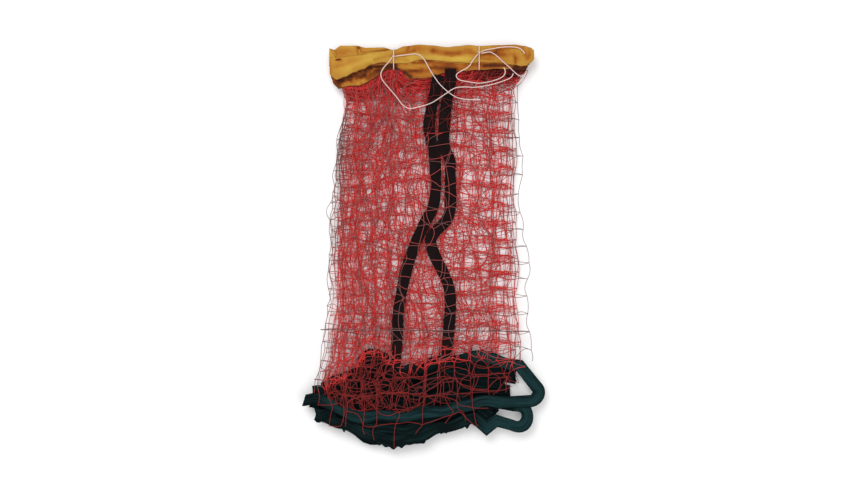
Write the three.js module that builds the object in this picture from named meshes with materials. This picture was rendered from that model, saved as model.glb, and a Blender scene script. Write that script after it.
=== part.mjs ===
// A badminton net folded back and forth for storage, lying on its back with its headband at +Y.
// Millimetres, +Z up. The origin is on the surface, below the middle of the folded net.

import * as THREE from "three";

// Headband: cotton tape doubled over the top edge of the net, folded into flat passes.
const BAND_WIDTH = 38;
const BAND_THICKNESS = 1.0;
const BAND_PASSES = 16;
const BAND_RISE = 1.45;
const FRONT_PASS_LIFT = 2.45;
const BAND_END_JOG = 5;
const BAND_JOG_BEAT = 2.4;

// Netting: square mesh drawn at twice its 32 mm pitch, in four layers that stand for sixteen.
const NET_LAYERS = 4;
const NET_THICKNESS = 1.6;
const STRAND_WIDTH = 2.4;
const GAP_COLUMNS = 6;
const GAP_ROWS = 10;
const NET_SPREAD = 350;
const NET_DROP = 560;
const STRAND_SHARE_ACROSS = STRAND_WIDTH / NET_SPREAD;
const STRAND_SHARE_DOWN = STRAND_WIDTH / NET_DROP;
const NET_SLOPE_START_Y = 110;
const NET_SLOPE_END_Y = 300;
const NET_LOWER_END_Y = -180;

// Side and bottom tapes.
const TAPE_WIDTH = 22;
const TAPE_THICKNESS = 1.0;
const SIDE_TAPE_WIDTH = 21;
const SIDE_TAPE_DEPTH = 3.5;
const BOTTOM_PASSES = 16;
const BOTTOM_RISE = 1.35;
const BOTTOM_START = { x: -200, share: 0.6 };
const BOTTOM_STEPS = 14;

// Ties: white thread bound round the folded headband at two places.
const THREAD = 1.8;
const THREAD_SIDES = 8;
const THREAD_STEP = 5.4;
const WRAP_STEP = 3.2;
const WRAP_BEND = 2.5;
const WRAP_ROOM = 0.9;
const KNOT_RADIUS = 2.3;
const CLEARANCE = 0.3;
const PINCH = 2.4;
const PINCH_REACH = 25;
const TIE_LEFT_X = -57;
const TIE_RIGHT_X = 101;

const FOLD_STEPS = 4;

// Across the headband: the share of the tape's width that lies flat at each place.
const BAND_PLACES = [
  { x: -175, key: "left", share: 1.0 },
  { x: -123, key: "quarter", share: 0.95 },
  { x: TIE_LEFT_X, key: "tieLeft", share: 0.68 },
  { x: 10, key: "middle", share: 0.86 },
  { x: TIE_RIGHT_X, key: "tieRight", share: 0.72 },
  { x: 200, key: "right", share: 0.95 },
];

// Centre line (y) of the headband's upper passes at those places, the front pass first.
// The passes below them lie on the last row's line.
const BAND_ROWS = [
  { left: 327, quarter: 341, tieLeft: 350, middle: 355.3, tieRight: 356, right: 350 },
  { left: 350, quarter: 348, tieLeft: 343, middle: 329.5, tieRight: 341, right: 350 },
  { left: 350, quarter: 346, tieLeft: 344, middle: 338, tieRight: 345, right: 342.2 },
  { left: 311, quarter: 315, tieLeft: 341, middle: 337, tieRight: 344, right: 342.2 },
  { left: 311, quarter: 318, tieLeft: 342, middle: 340, tieRight: 345, right: 342.2 },
  { left: 342.2, quarter: 343.5, tieLeft: 343.5, middle: 342.2, tieRight: 345, right: 342.2 },
];

// How far the ends of the headband are drawn in below their upper corners, and how far along it.
const BAND_LEFT_INSET = [{ y: 290, inset: 14 }, { y: 303, inset: 4 }, { y: 316, inset: 0 }];
const BAND_RIGHT_INSET = [{ y: 322, inset: 13 }, { y: 334, inset: 9 }, { y: 346, inset: 0 }];
const BAND_INSET_REACH = 45;

// Places where each headband pass is sampled between its two ends.
const BAND_SAMPLES = [
  -150, -123, -82, -68, TIE_LEFT_X, -46, -32, 10, 60, 76, 90, TIE_RIGHT_X, 112, 126, 165,
];

// Left and right limits of the folded netting, from the bottom to the head.
const NET_OUTLINE = [
  { y: -240, left: -203, right: 195 },
  { y: -190, left: -190, right: 190 },
  { y: -155, left: -193, right: 192 },
  { y: -63, left: -188, right: 188 },
  { y: 57, left: -175, right: 179 },
  { y: 140, left: -166, right: 180 },
  { y: 214, left: -154, right: 173 },
  { y: 300, left: -144, right: 178 },
];

// Height of the netting's upper surface: low between the two thick ends.
const NET_TOP = [
  { y: -200, z: 23.15 },
  { y: -20, z: 14.4 },
  { y: NET_SLOPE_START_Y, z: 14.4 },
  { y: NET_SLOPE_END_Y, z: 25.6 },
];

// Each netting layer from the surface up: its height near the head and in the middle, how far its
// folds stay inside the outline, and how far its meshes are shifted across and down the net.
// The front layer's height is in the table above.
const NET_ROWS = [
  { head: 0.8, middle: 0.8, inset: 12, shiftX: 0.0, shiftY: 0.0 },
  { head: 7.5, middle: 4.6, inset: 10, shiftX: 0.06, shiftY: 0.03 },
  { head: 14.5, middle: 8.6, inset: 2, shiftX: -0.05, shiftY: -0.03 },
  { inset: 2, shiftX: 0.02, shiftY: 0.015 },
];

// Upper edge of the netting, just below the headband's passes.
const NET_HEAD = [
  { x: -142, y: 312 },
  { x: -100, y: 322.6 },
  { x: 140, y: 322.6 },
  { x: 176, y: 316 },
];

// Lower edge of the front netting layer, drawn over the bottom tape.
const NET_FRONT_END = [
  { x: -205, y: -285 },
  { x: -165, y: -322 },
  { x: -120, y: -343 },
  { x: -40, y: -350 },
  { x: 103, y: -322 },
  { x: 150, y: -270 },
  { x: 192, y: -183 },
];

// The bunch of bottom tape: centre lines of its highest and lowest passes.
const BUNCH = [
  { x: -223, upper: -276, lower: -302 },
  { x: -192, upper: -264, lower: -324 },
  { x: -156, upper: -246, lower: -332 },
  { x: -93, upper: -198, lower: -359 },
  { x: -40, upper: -233, lower: -358 },
  { x: 29, upper: -215, lower: -339 },
  { x: 103, upper: -205, lower: -324 },
  { x: 177, upper: -222, lower: -318 },
];

// Passes of the bottom tape from the surface up: the share of the way down the bunch at each quarter
// of the pass, and the x where the pass turns back.
const BOTTOM_ROWS = [
  { early: 0.88, middle: 0.95, late: 0.85, exit: 0.65, reach: 152 },
  { early: 0.72, middle: 0.8, late: 0.72, exit: 0.5, reach: -195 },
  { early: 0.59, middle: 0.65, late: 0.6, exit: 0.5, reach: 158 },
  { early: 0.5, middle: 0.52, late: 0.46, exit: 0.45, reach: -205 },
  { early: 0.33, middle: 0.38, late: 0.4, exit: 0.4, reach: 148 },
  { early: 0.3, middle: 0.25, late: 0.2, exit: 0.1, reach: -200 },
  { early: 0.08, middle: 0.1, late: 0.18, exit: 0.25, reach: 168 },
  { early: 0.02, middle: 0.0, late: 0.05, exit: 0.0, reach: -190 },
  { early: 1.0, middle: 0.95, late: 0.9, exit: 0.93, reach: 128 },
  { early: 0.5, middle: 0.7, late: 0.9, exit: 0.4, reach: -210 },
  { early: 0.15, middle: 0.3, late: 0.25, exit: 0.2, reach: 166 },
  { early: 0.1, middle: 0.05, late: 0.15, exit: 0.1, reach: -206 },
  { early: 0.85, middle: 0.85, late: 0.72, exit: 0.75, reach: 165 },
  { early: 1.0, middle: 1.0, late: 0.95, exit: 0.85, reach: -200 },
  { early: 0.0, middle: 0.0, late: 0.0, exit: 0.0, reach: 176 },
  { early: 0.74, middle: 0.68, late: 0.76, exit: 0.25, reach: -223 },
];

// Two turns of the bottom tape that stick out flat at the right: arc centre, radius and angles, the
// corners that follow the arc, and where the next pass starts.
const BOTTOM_LOOPS = {
  12: {
    x: 170, y: -314.5, radius: 20.4, from: 90, to: -112, droop: 0,
    corners: [{ x: 133, y: -322.5 }, { x: 115, y: -337 }], next: { x: 92, share: 0.93 },
  },
  14: {
    x: 197.5, y: -273, radius: 14, from: 30, to: -90, droop: 5,
    corners: [], next: { x: 152, share: 0.69 },
  },
};
const LOOP_STEPS = 8;

// Centre lines of the side tapes, head first.
const SIDE_TAPES = {
  side_tape_left: [
    { x: 26, y: 314 },
    { x: 17, y: 272 },
    { x: 10, y: 240 },
    { x: 8.5, y: 218 },
    { x: 10, y: 194 },
    { x: 14, y: 178 },
    { x: 19.5, y: 158 },
    { x: 20.5, y: 122 },
    { x: 20, y: 95 },
    { x: 15, y: 70 },
    { x: 2, y: 45 },
    { x: -14, y: 11 },
    { x: -28, y: -26 },
    { x: -38, y: -63 },
    { x: -45, y: -100 },
    { x: -49, y: -137 },
    { x: -51, y: -174 },
    { x: -53, y: -200 },
  ],
  side_tape_right: [
    { x: 48, y: 326 },
    { x: 47.5, y: 303 },
    { x: 42, y: 272 },
    { x: 37.5, y: 240 },
    { x: 36.5, y: 218 },
    { x: 37.5, y: 194 },
    { x: 41, y: 178 },
    { x: 47, y: 158 },
    { x: 48, y: 122 },
    { x: 47.5, y: 68 },
    { x: 39, y: 46 },
    { x: 19.5, y: 26 },
    { x: 11.5, y: 9 },
    { x: 19, y: -18 },
    { x: 33, y: -46 },
    { x: 44, y: -72 },
    { x: 48, y: -100 },
    { x: 46.5, y: -137 },
    { x: 43, y: -174 },
    { x: 41.5, y: -194 },
  ],
};

// Knots, on top of the front pass of the headband.
const KNOTS = {
  tie_left_knot: { x: TIE_LEFT_X, y: 349.7, z: 25.4 },
  tie_right_knot: { x: TIE_RIGHT_X, y: 357, z: 25.4 },
};

// Routes of the thread ends from their knots, as x, y, z.
const THREAD_ENDS = {
  tie_left_end_a: [
    [-53.6, 350.1, 25.5], [-47, 351.2, 25.9], [-37.9, 352.1, 26.5], [-26.8, 353.5, 26.7],
    [-16.5, 354.3, 26.7], [-9.3, 352.1, 26.7], [-2.8, 346.5, 26.7], [2.8, 338.6, 26.9],
    [7.6, 329.3, 27.1], [13, 320, 27.2], [19.1, 310.8, 27.2], [28.7, 297.9, 27.1],
    [42.7, 284.9, 26.8], [57.7, 274.9, 26.5], [65.7, 272.5, 26.4], [74.9, 270.8, 26.4],
    [89.7, 270.1, 26.4], [102.7, 270.1, 26.4],
  ],
  tie_left_end_b: [
    [-60.2, 348.3, 25.5], [-64.5, 341.5, 26.0], [-71.2, 333.9, 26.5], [-75.9, 328, 26.9],
    [-79.2, 321.9, 27.1], [-80.5, 316.4, 27.2], [-79.2, 309.9, 27.2], [-75.9, 303.9, 27.2],
    [-65.7, 291.2, 27.0], [-54.6, 278.6, 26.6], [-45.3, 266.4, 26.2], [-38.9, 259, 25.9],
    [-30.5, 254.4, 25.7], [-23.1, 254, 25.7], [-16.5, 255.3, 25.8], [2, 260.1, 26.1],
    [15.7, 265.5, 26.6], [28.7, 273.8, 27.8], [36.1, 278.8, 28.9], [42.7, 283.1, 29.3],
    [50.9, 288.6, 28.7], [60.1, 292.3, 27.7], [74.9, 293.4, 27.1], [91.6, 292.7, 27.1],
    [104.5, 294.2, 27.1], [118.8, 296.7, 27.1], [129.7, 299.3, 27.2], [139.1, 302.3, 27.2],
    [148.9, 305.8, 27.2], [156.3, 309, 27.2], [161.3, 313, 27.2], [163.7, 318.2, 27.2],
  ],
  tie_right_end_a: [
    [98.6, 354.3, 25.5], [94.6, 349.6, 26.0], [87.9, 340.4, 26.6], [83.4, 333, 27.0],
    [76.8, 327.5, 27.1], [68.5, 323.2, 27.2], [62, 319.3, 27.2], [58.6, 314.9, 27.2],
    [60.1, 310.1, 27.2], [65.7, 306, 27.2], [78.1, 303.4, 27.2], [94.4, 300.8, 27.2],
    [102.7, 300.4, 27.2], [111.9, 301.6, 27.2], [121.2, 303.4, 27.2], [130.4, 306, 27.2],
    [139.7, 309.7, 27.2], [146.3, 314.5, 27.2], [148.9, 320, 27.2], [148.4, 325, 27.2],
    [146.3, 329.3, 27.2],
  ],
  tie_right_end_b: [
    [104.4, 358.8, 25.5], [108.5, 360.2, 25.8], [112.9, 361.6, 26.1], [119.3, 362.9, 26.4],
    [126.7, 364.1, 26.6], [134.1, 365.5, 26.6], [141.5, 366.6, 26.6], [149.9, 367.2, 26.6],
    [155, 367.4, 26.6], [159.5, 367.4, 26.6], [167.4, 366.8, 26.6], [173.9, 365.2, 26.6],
    [178.5, 362.6, 26.6], [182.2, 359, 26.6], [185, 354.8, 26.6],
  ],
  tie_right_end_c: [
    [104.6, 355.8, 25.5], [108.5, 356.4, 25.8], [112.9, 357.1, 26.1], [119.3, 357.9, 26.4],
    [124.9, 356.4, 26.6], [132.3, 351.5, 26.6], [138.8, 345.6, 26.6], [145.2, 339.7, 26.8],
    [150.8, 334.9, 27.0], [156.3, 330, 27.1], [161.3, 325.2, 27.2], [166.3, 320.4, 27.2],
    [171.7, 316, 27.2], [177.6, 313.4, 27.2], [183.2, 314.5, 27.2], [186.5, 318.2, 27.2],
    [187.8, 322.6, 27.2],
  ],
};

function cloth(color, roughness) {
  return new THREE.MeshStandardMaterial({ color, roughness, metalness: 0 });
}

const BAND_CLOTH = () => cloth(0xbf9547, 0.85);
const NET_TWINE = () => cloth(0xaa2b2b, 0.8);
const SIDE_CLOTH = () => cloth(0x251516, 0.85);
const BOTTOM_CLOTH = () => cloth(0x173134, 0.8);
const WHITE_THREAD = () => cloth(0xe6dcd6, 0.7);

// Reads one column of a table at a place, eased between the rows on either side.
function readTable(rows, place, column, at) {
  if (at <= rows[0][place]) {
    return rows[0][column];
  }
  for (let i = 1; i < rows.length; i += 1) {
    if (at <= rows[i][place]) {
      const share = (at - rows[i - 1][place]) / (rows[i][place] - rows[i - 1][place]);
      const eased = THREE.MathUtils.smoothstep(share, 0, 1);
      return THREE.MathUtils.lerp(rows[i - 1][column], rows[i][column], eased);
    }
  }
  return rows[rows.length - 1][column];
}

// A closed sheet on a grid of places. Cells that isGap names are left open.
// place(i, j, side) gives the point on the back (side 0) or the face (side 1).
function sheetGeometry(columns, rows, isGap, place) {
  const positions = [];
  const triangles = [];
  const index = (i, j, side) => (i * rows + j) * 2 + side;
  const quad = (a, b, c, d) => triangles.push(a, b, c, a, c, d);
  const isOpen = (i, j) => i < 0 || j < 0 || i >= columns - 1 || j >= rows - 1 || isGap(i, j);
  for (let i = 0; i < columns; i += 1) {
    for (let j = 0; j < rows; j += 1) {
      positions.push(...place(i, j, 0).toArray(), ...place(i, j, 1).toArray());
    }
  }
  for (let i = 0; i < columns - 1; i += 1) {
    for (let j = 0; j < rows - 1; j += 1) {
      if (isGap(i, j)) {
        continue;
      }
      const [a, b, c, d] = [[i, j], [i + 1, j], [i + 1, j + 1], [i, j + 1]];
      const at = (corner, side) => index(corner[0], corner[1], side);
      quad(at(a, 1), at(b, 1), at(c, 1), at(d, 1));
      quad(at(d, 0), at(c, 0), at(b, 0), at(a, 0));
      if (isOpen(i - 1, j)) {
        quad(at(a, 0), at(a, 1), at(d, 1), at(d, 0));
      }
      if (isOpen(i + 1, j)) {
        quad(at(b, 0), at(c, 0), at(c, 1), at(b, 1));
      }
      if (isOpen(i, j - 1)) {
        quad(at(a, 0), at(b, 0), at(b, 1), at(a, 1));
      }
      if (isOpen(i, j + 1)) {
        quad(at(d, 0), at(d, 1), at(c, 1), at(c, 0));
      }
    }
  }
  const geometry = new THREE.BufferGeometry();
  geometry.setAttribute("position", new THREE.Float32BufferAttribute(positions, 3));
  geometry.setIndex(triangles);
  geometry.computeVertexNormals();
  return geometry;
}

// A flat tape along a path. widths holds the width at each point of the path.
function tapeGeometry(path, widths, thickness) {
  const frames = [];
  let across = new THREE.Vector3(0, 1, 0);
  path.forEach((point, i) => {
    const before = path[Math.max(i - 1, 0)];
    const after = path[Math.min(i + 1, path.length - 1)];
    const along = after.clone().sub(before).normalize();
    const side = new THREE.Vector3(-along.y, along.x, 0);
    if (side.length() > 0.5) {
      side.normalize();
      across = side.dot(across) < 0 ? side.negate() : side;
    }
    const normal = along.clone().cross(across).normalize();
    frames.push({ point, across, normal, width: widths[i] });
  });
  const place = (i, j, side) => frames[i].point.clone()
    .addScaledVector(frames[i].across, (j - 0.5) * frames[i].width)
    .addScaledVector(frames[i].normal, (side - 0.5) * thickness);
  return sheetGeometry(path.length, 2, () => false, place);
}

// Adds the half turn from one pass up to the next at the end of a path.
function addFold(path, heading, rise) {
  const end = path[path.length - 1].clone();
  for (let step = 1; step < FOLD_STEPS; step += 1) {
    const angle = (Math.PI * step) / FOLD_STEPS;
    const out = heading * Math.sin(angle) * rise / 2;
    path.push(new THREE.Vector3(end.x + out, end.y, end.z + (rise / 2) * (1 - Math.cos(angle))));
  }
}

function pinchAt(x) {
  const nearest = Math.min(Math.abs(x - TIE_LEFT_X), Math.abs(x - TIE_RIGHT_X));
  return Math.max(0, 1 - nearest / PINCH_REACH);
}

// Middle height of a headband pass: the ties press the passes together from both sides.
function bandHeight(pass, x) {
  const share = pass / (BAND_PASSES - 1);
  const lift = pass === BAND_PASSES - 1 ? FRONT_PASS_LIFT : 0;
  const flat = BAND_THICKNESS / 2 + pass * BAND_RISE + lift;
  return flat + PINCH * pinchAt(x) * (1 - 2 * share);
}

function bandRow(pass) {
  const depth = BAND_PASSES - 1 - pass;
  const row = BAND_ROWS[Math.min(depth, BAND_ROWS.length - 1)];
  return BAND_PLACES.map((place) => ({ x: place.x, y: row[place.key], share: place.share }));
}

function headband() {
  const path = [];
  const widths = [];
  const left = BAND_PLACES[0].x;
  const right = BAND_PLACES[BAND_PLACES.length - 1].x;
  for (let pass = 0; pass < BAND_PASSES; pass += 1) {
    const row = bandRow(pass);
    const heading = pass % 2 === 0 ? 1 : -1;
    const jog = (turn) => BAND_END_JOG * Math.abs(Math.sin(turn * BAND_JOG_BEAT));
    const start = left + (heading > 0 ? jog(pass) : jog(pass + 1));
    const end = right - (heading > 0 ? jog(pass + 1) : jog(pass));
    const places = [start, ...BAND_SAMPLES, end];
    if (heading < 0) {
      places.reverse();
    }
    for (const x of places) {
      path.push(new THREE.Vector3(x, readTable(row, "x", "y", x), bandHeight(pass, x)));
    }
    if (pass < BAND_PASSES - 1) {
      const x = places[places.length - 1];
      addFold(path, heading, bandHeight(pass + 1, x) - bandHeight(pass, x));
    }
  }
  for (const point of path) {
    widths.push(BAND_WIDTH * readTable(BAND_PLACES, "x", "share", point.x));
  }
  return drawInEnds(tapeGeometry(path, widths, BAND_THICKNESS), left, right);
}

// Moves the lower corners of the folded headband inwards.
function drawInEnds(geometry, left, right) {
  const places = geometry.getAttribute("position");
  for (let i = 0; i < places.count; i += 1) {
    const x = places.getX(i);
    const y = places.getY(i);
    const nearLeft = 1 - THREE.MathUtils.smoothstep(x, left, left + BAND_INSET_REACH);
    const nearRight = THREE.MathUtils.smoothstep(x, right - BAND_INSET_REACH, right);
    const leftInset = nearLeft * readTable(BAND_LEFT_INSET, "y", "inset", y);
    const rightInset = nearRight * readTable(BAND_RIGHT_INSET, "y", "inset", y);
    places.setX(i, x + leftInset - rightInset);
  }
  geometry.computeVertexNormals();
  return geometry;
}

function bunchY(x, share) {
  const upper = readTable(BUNCH, "x", "upper", x);
  const lower = readTable(BUNCH, "x", "lower", x);
  return THREE.MathUtils.lerp(upper, lower, share);
}

// A turn that lies flat, drooping at its tip as it leaves the pile.
function addLoop(path, loop, height, rise) {
  for (let step = 0; step <= LOOP_STEPS; step += 1) {
    const share = step / LOOP_STEPS;
    const angle = THREE.MathUtils.degToRad(THREE.MathUtils.lerp(loop.from, loop.to, share));
    const z = height + rise * share - loop.droop * Math.sin(Math.PI * share);
    const x = loop.x + loop.radius * Math.cos(angle);
    path.push(new THREE.Vector3(x, loop.y + loop.radius * Math.sin(angle), z));
  }
  for (const { x, y } of loop.corners) {
    path.push(new THREE.Vector3(x, y, height + rise));
  }
}

function bottomTape() {
  const path = [];
  let start = BOTTOM_START;
  for (let pass = 0; pass < BOTTOM_PASSES; pass += 1) {
    const row = BOTTOM_ROWS[pass];
    const heading = pass % 2 === 0 ? 1 : -1;
    const height = TAPE_THICKNESS / 2 + pass * BOTTOM_RISE;
    const shares = [
      { at: 0, share: start.share },
      { at: 0.25, share: row.early },
      { at: 0.5, share: row.middle },
      { at: 0.75, share: row.late },
      { at: 1, share: row.exit },
    ];
    for (let step = 0; step <= BOTTOM_STEPS; step += 1) {
      const at = step / BOTTOM_STEPS;
      const x = THREE.MathUtils.lerp(start.x, row.reach, at);
      path.push(new THREE.Vector3(x, bunchY(x, readTable(shares, "at", "share", at)), height));
    }
    const loop = BOTTOM_LOOPS[pass];
    if (loop) {
      addLoop(path, loop, height, BOTTOM_RISE);
      start = loop.next;
    } else {
      if (pass < BOTTOM_PASSES - 1) {
        addFold(path, heading, BOTTOM_RISE);
      }
      start = { x: row.reach, share: row.exit };
    }
  }
  return tapeGeometry(path, path.map(() => TAPE_WIDTH), TAPE_THICKNESS);
}

function sideTape(rows) {
  const curve = new THREE.CatmullRomCurve3(rows.map(({ x, y }) => new THREE.Vector3(x, y, 0)));
  const path = curve.getPoints(rows.length * 2);
  for (const point of path) {
    point.z = readTable(NET_TOP, "y", "z", point.y) - SIDE_TAPE_DEPTH;
  }
  return tapeGeometry(path, path.map(() => SIDE_TAPE_WIDTH), TAPE_THICKNESS);
}

// Stops along one side of a lattice: the two edges of each strand, with an open stretch between.
function latticeStops(gaps, strandShare) {
  const stops = [];
  for (let gap = 0; gap < gaps; gap += 1) {
    const low = gap === 0 ? 0 : gap / gaps - strandShare / 2;
    stops.push({ share: low, isOpen: false });
    stops.push({ share: gap / gaps + (gap === 0 ? strandShare : strandShare / 2), isOpen: true });
  }
  stops.push({ share: 1 - strandShare, isOpen: false });
  stops.push({ share: 1, isOpen: false });
  return stops;
}

function netHeight(layer, y) {
  if (layer === NET_LAYERS - 1) {
    return readTable(NET_TOP, "y", "z", y) - NET_THICKNESS / 2;
  }
  const row = NET_ROWS[layer];
  const slope = [{ y: NET_SLOPE_START_Y, z: row.middle }, { y: NET_SLOPE_END_Y, z: row.head }];
  return readTable(slope, "y", "z", y);
}

// A place on a netting layer: across from 0 at its start to 1 at its end, down from 0 at the head.
function netPlace(layer, across, down) {
  const row = NET_ROWS[layer];
  const bulge = (share) => Math.sin(Math.PI * share);
  const lateral = across + row.shiftX * bulge(across);
  const fall = down + row.shiftY * bulge(down);
  const share = layer % 2 === 0 ? lateral : 1 - lateral;
  const level = THREE.MathUtils.lerp(NET_HEAD[1].y, NET_LOWER_END_Y, fall);
  const left = readTable(NET_OUTLINE, "y", "left", level) + row.inset;
  const right = readTable(NET_OUTLINE, "y", "right", level) - row.inset;
  const x = THREE.MathUtils.lerp(left, right, share);
  const head = readTable(NET_HEAD, "x", "y", x);
  const isFront = layer === NET_LAYERS - 1;
  const end = isFront ? readTable(NET_FRONT_END, "x", "y", x) : NET_LOWER_END_Y;
  const y = THREE.MathUtils.lerp(head, end, fall);
  return new THREE.Vector3(x, y, netHeight(layer, y));
}

function netting() {
  const acrossStops = latticeStops(GAP_COLUMNS, STRAND_SHARE_ACROSS);
  const downStops = latticeStops(GAP_ROWS, STRAND_SHARE_DOWN);
  const stops = [];
  for (let layer = 0; layer < NET_LAYERS; layer += 1) {
    for (const stop of acrossStops) {
      stops.push({ layer, turn: 0, ...stop });
    }
    if (layer < NET_LAYERS - 1) {
      for (let step = 1; step < FOLD_STEPS; step += 1) {
        stops.push({ layer, turn: step / FOLD_STEPS, share: 1, isOpen: false });
      }
    }
  }
  const place = (i, j, side) => {
    const { layer, turn, share } = stops[i];
    const heading = layer % 2 === 0 ? 1 : -1;
    const offset = (0.5 - side) * NET_THICKNESS;
    const down = downStops[j].share;
    const point = netPlace(layer, share, down);
    if (turn === 0) {
      return point.add(new THREE.Vector3(0, 0, heading * offset));
    }
    const next = netPlace(layer + 1, 0, down);
    const radius = (next.z - point.z) / 2;
    const angle = Math.PI * turn;
    const reach = radius - heading * offset;
    point.lerp(next, turn);
    point.x += heading * reach * Math.sin(angle);
    point.z = next.z - radius - reach * Math.cos(angle);
    return point;
  };
  const isGap = (i, j) => stops[i].isOpen && downStops[j].isOpen;
  return sheetGeometry(stops.length, downStops.length, isGap, place);
}

function threadGeometry(curve, step) {
  const section = new THREE.Shape();
  for (let side = 0; side < THREAD_SIDES; side += 1) {
    const angle = (2 * Math.PI * side) / THREAD_SIDES;
    const method = side === 0 ? "moveTo" : "lineTo";
    section[method]((THREAD / 2) * Math.cos(angle), (THREAD / 2) * Math.sin(angle));
  }
  section.closePath();
  const steps = Math.round(curve.getLength() / step);
  return new THREE.ExtrudeGeometry(section, { extrudePath: curve, steps, bevelEnabled: false });
}

// The thread from its knot round the headband and back to the knot.
function wrapGeometry(tieX, knot) {
  const reach = THREAD / 2 + WRAP_ROOM;
  const lows = [];
  const highs = [];
  for (let pass = 0; pass < BAND_PASSES; pass += 1) {
    const row = bandRow(pass);
    const half = (BAND_WIDTH * readTable(row, "x", "share", tieX)) / 2;
    lows.push(readTable(row, "x", "y", tieX) - half);
    highs.push(readTable(row, "x", "y", tieX) + half);
  }
  const low = Math.min(...lows) - reach;
  const high = Math.max(...highs) + reach;
  const over = bandHeight(BAND_PASSES - 1, tieX) + BAND_THICKNESS / 2 + reach;
  const under = THREAD / 2 + CLEARANCE / 2;
  const gap = KNOT_RADIUS + CLEARANCE;
  const place = (y, z) => new THREE.Vector3(tieX, y, z);
  const corners = [place(high, over), place(high, under), place(low, under), place(low, over)];
  const end = place(knot.y - gap, over);
  const curve = new THREE.CurvePath();
  let from = place(knot.y + gap, over);
  corners.forEach((corner, i) => {
    const after = corners[i + 1] ?? end;
    const entry = corner.clone().add(from.clone().sub(corner).setLength(WRAP_BEND));
    const exit = corner.clone().add(after.clone().sub(corner).setLength(WRAP_BEND));
    curve.add(new THREE.LineCurve3(from, entry));
    curve.add(new THREE.QuadraticBezierCurve3(entry, corner, exit));
    from = exit;
  });
  curve.add(new THREE.LineCurve3(from, end));
  return threadGeometry(curve, WRAP_STEP);
}

function knotGeometry(place) {
  const geometry = new THREE.IcosahedronGeometry(KNOT_RADIUS, 1);
  geometry.translate(place.x, place.y, place.z);
  return geometry;
}

const net = new THREE.Group();

function add(name, geometry, material) {
  const mesh = new THREE.Mesh(geometry, material);
  mesh.name = name;
  net.add(mesh);
}

add("headband", headband(), BAND_CLOTH());
add("netting", netting(), NET_TWINE());
for (const [name, rows] of Object.entries(SIDE_TAPES)) {
  add(name, sideTape(rows), SIDE_CLOTH());
}
add("bottom_tape", bottomTape(), BOTTOM_CLOTH());
add("tie_left_wrap", wrapGeometry(TIE_LEFT_X, KNOTS.tie_left_knot), WHITE_THREAD());
add("tie_right_wrap", wrapGeometry(TIE_RIGHT_X, KNOTS.tie_right_knot), WHITE_THREAD());
for (const [name, place] of Object.entries(KNOTS)) {
  add(name, knotGeometry(place), WHITE_THREAD());
}
for (const [name, route] of Object.entries(THREAD_ENDS)) {
  const points = route.map((point) => new THREE.Vector3(...point));
  const curve = new THREE.CatmullRomCurve3(points, false, "centripetal");
  add(name, threadGeometry(curve, THREAD_STEP), WHITE_THREAD());
}

export default net;
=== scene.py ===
"""Dresses the solids of a folded badminton net with twine, cloth tapes and thread ties."""

import math

import bmesh
import bpy
import numpy as np
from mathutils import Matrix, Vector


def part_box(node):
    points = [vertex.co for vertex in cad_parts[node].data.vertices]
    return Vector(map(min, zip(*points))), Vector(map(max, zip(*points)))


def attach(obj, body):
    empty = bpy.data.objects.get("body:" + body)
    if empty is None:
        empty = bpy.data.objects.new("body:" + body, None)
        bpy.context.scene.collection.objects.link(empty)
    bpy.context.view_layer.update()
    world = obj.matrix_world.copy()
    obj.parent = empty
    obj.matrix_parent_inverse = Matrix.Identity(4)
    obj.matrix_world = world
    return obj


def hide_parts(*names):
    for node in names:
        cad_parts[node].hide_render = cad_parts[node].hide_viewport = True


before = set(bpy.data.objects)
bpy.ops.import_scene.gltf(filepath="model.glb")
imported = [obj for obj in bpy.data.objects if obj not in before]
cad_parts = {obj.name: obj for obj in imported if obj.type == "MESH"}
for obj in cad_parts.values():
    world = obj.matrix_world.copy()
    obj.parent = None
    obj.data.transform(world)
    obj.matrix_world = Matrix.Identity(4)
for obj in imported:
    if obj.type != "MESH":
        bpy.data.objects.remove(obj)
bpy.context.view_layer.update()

bl_info = {
    "name": "Folded Badminton Net",
    "version": (1, 0, 0),
    "blender": (4, 5, 0),
    "location": "3D View > Sidebar > Net",
    "description": "Makes the twine, tapes and ties of a badminton net that is folded for storage",
    "category": "Add Mesh",
}

BODY = "root"


def table(columns, *rows):
    """A table with named columns, as one array for each column."""
    return dict(zip(columns.split(), np.array(rows, float).T))


def tables(columns, **rows):
    """Tables with the same columns, one for each named pass."""
    return {name: table(columns, *lines) for name, lines in rows.items()}


# The photograph: its width in pixels, the real size of a pixel at the net's mean height, the place of
# its middle on the net, and the lens that is taken for it.
PHOTO_WIDTH_PX = 853
PHOTO_PIXEL = 0.00185
NET_MEAN_HEIGHT = 0.018
PHOTO_MIDDLE = (0.0037, 0.0111)
CAMERA_LENS_MM = 70
CAMERA_SENSOR_MM = 36

# Stage: the lights, the strength of the white surroundings, and the floor with its patches.
LIGHTS = {
    "window_light": {"place": (-0.9, 1.7, 2.2), "size": 2.0, "power": 52},
    "fill_light": {"place": (1.4, -1.2, 2.4), "size": 2.5, "power": 24},
}
SURROUNDINGS = 0.72
FLOOR_REACH = 4.0
FLOOR_PATCH = 0.5
FLOOR_SHADE = 0.98

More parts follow.
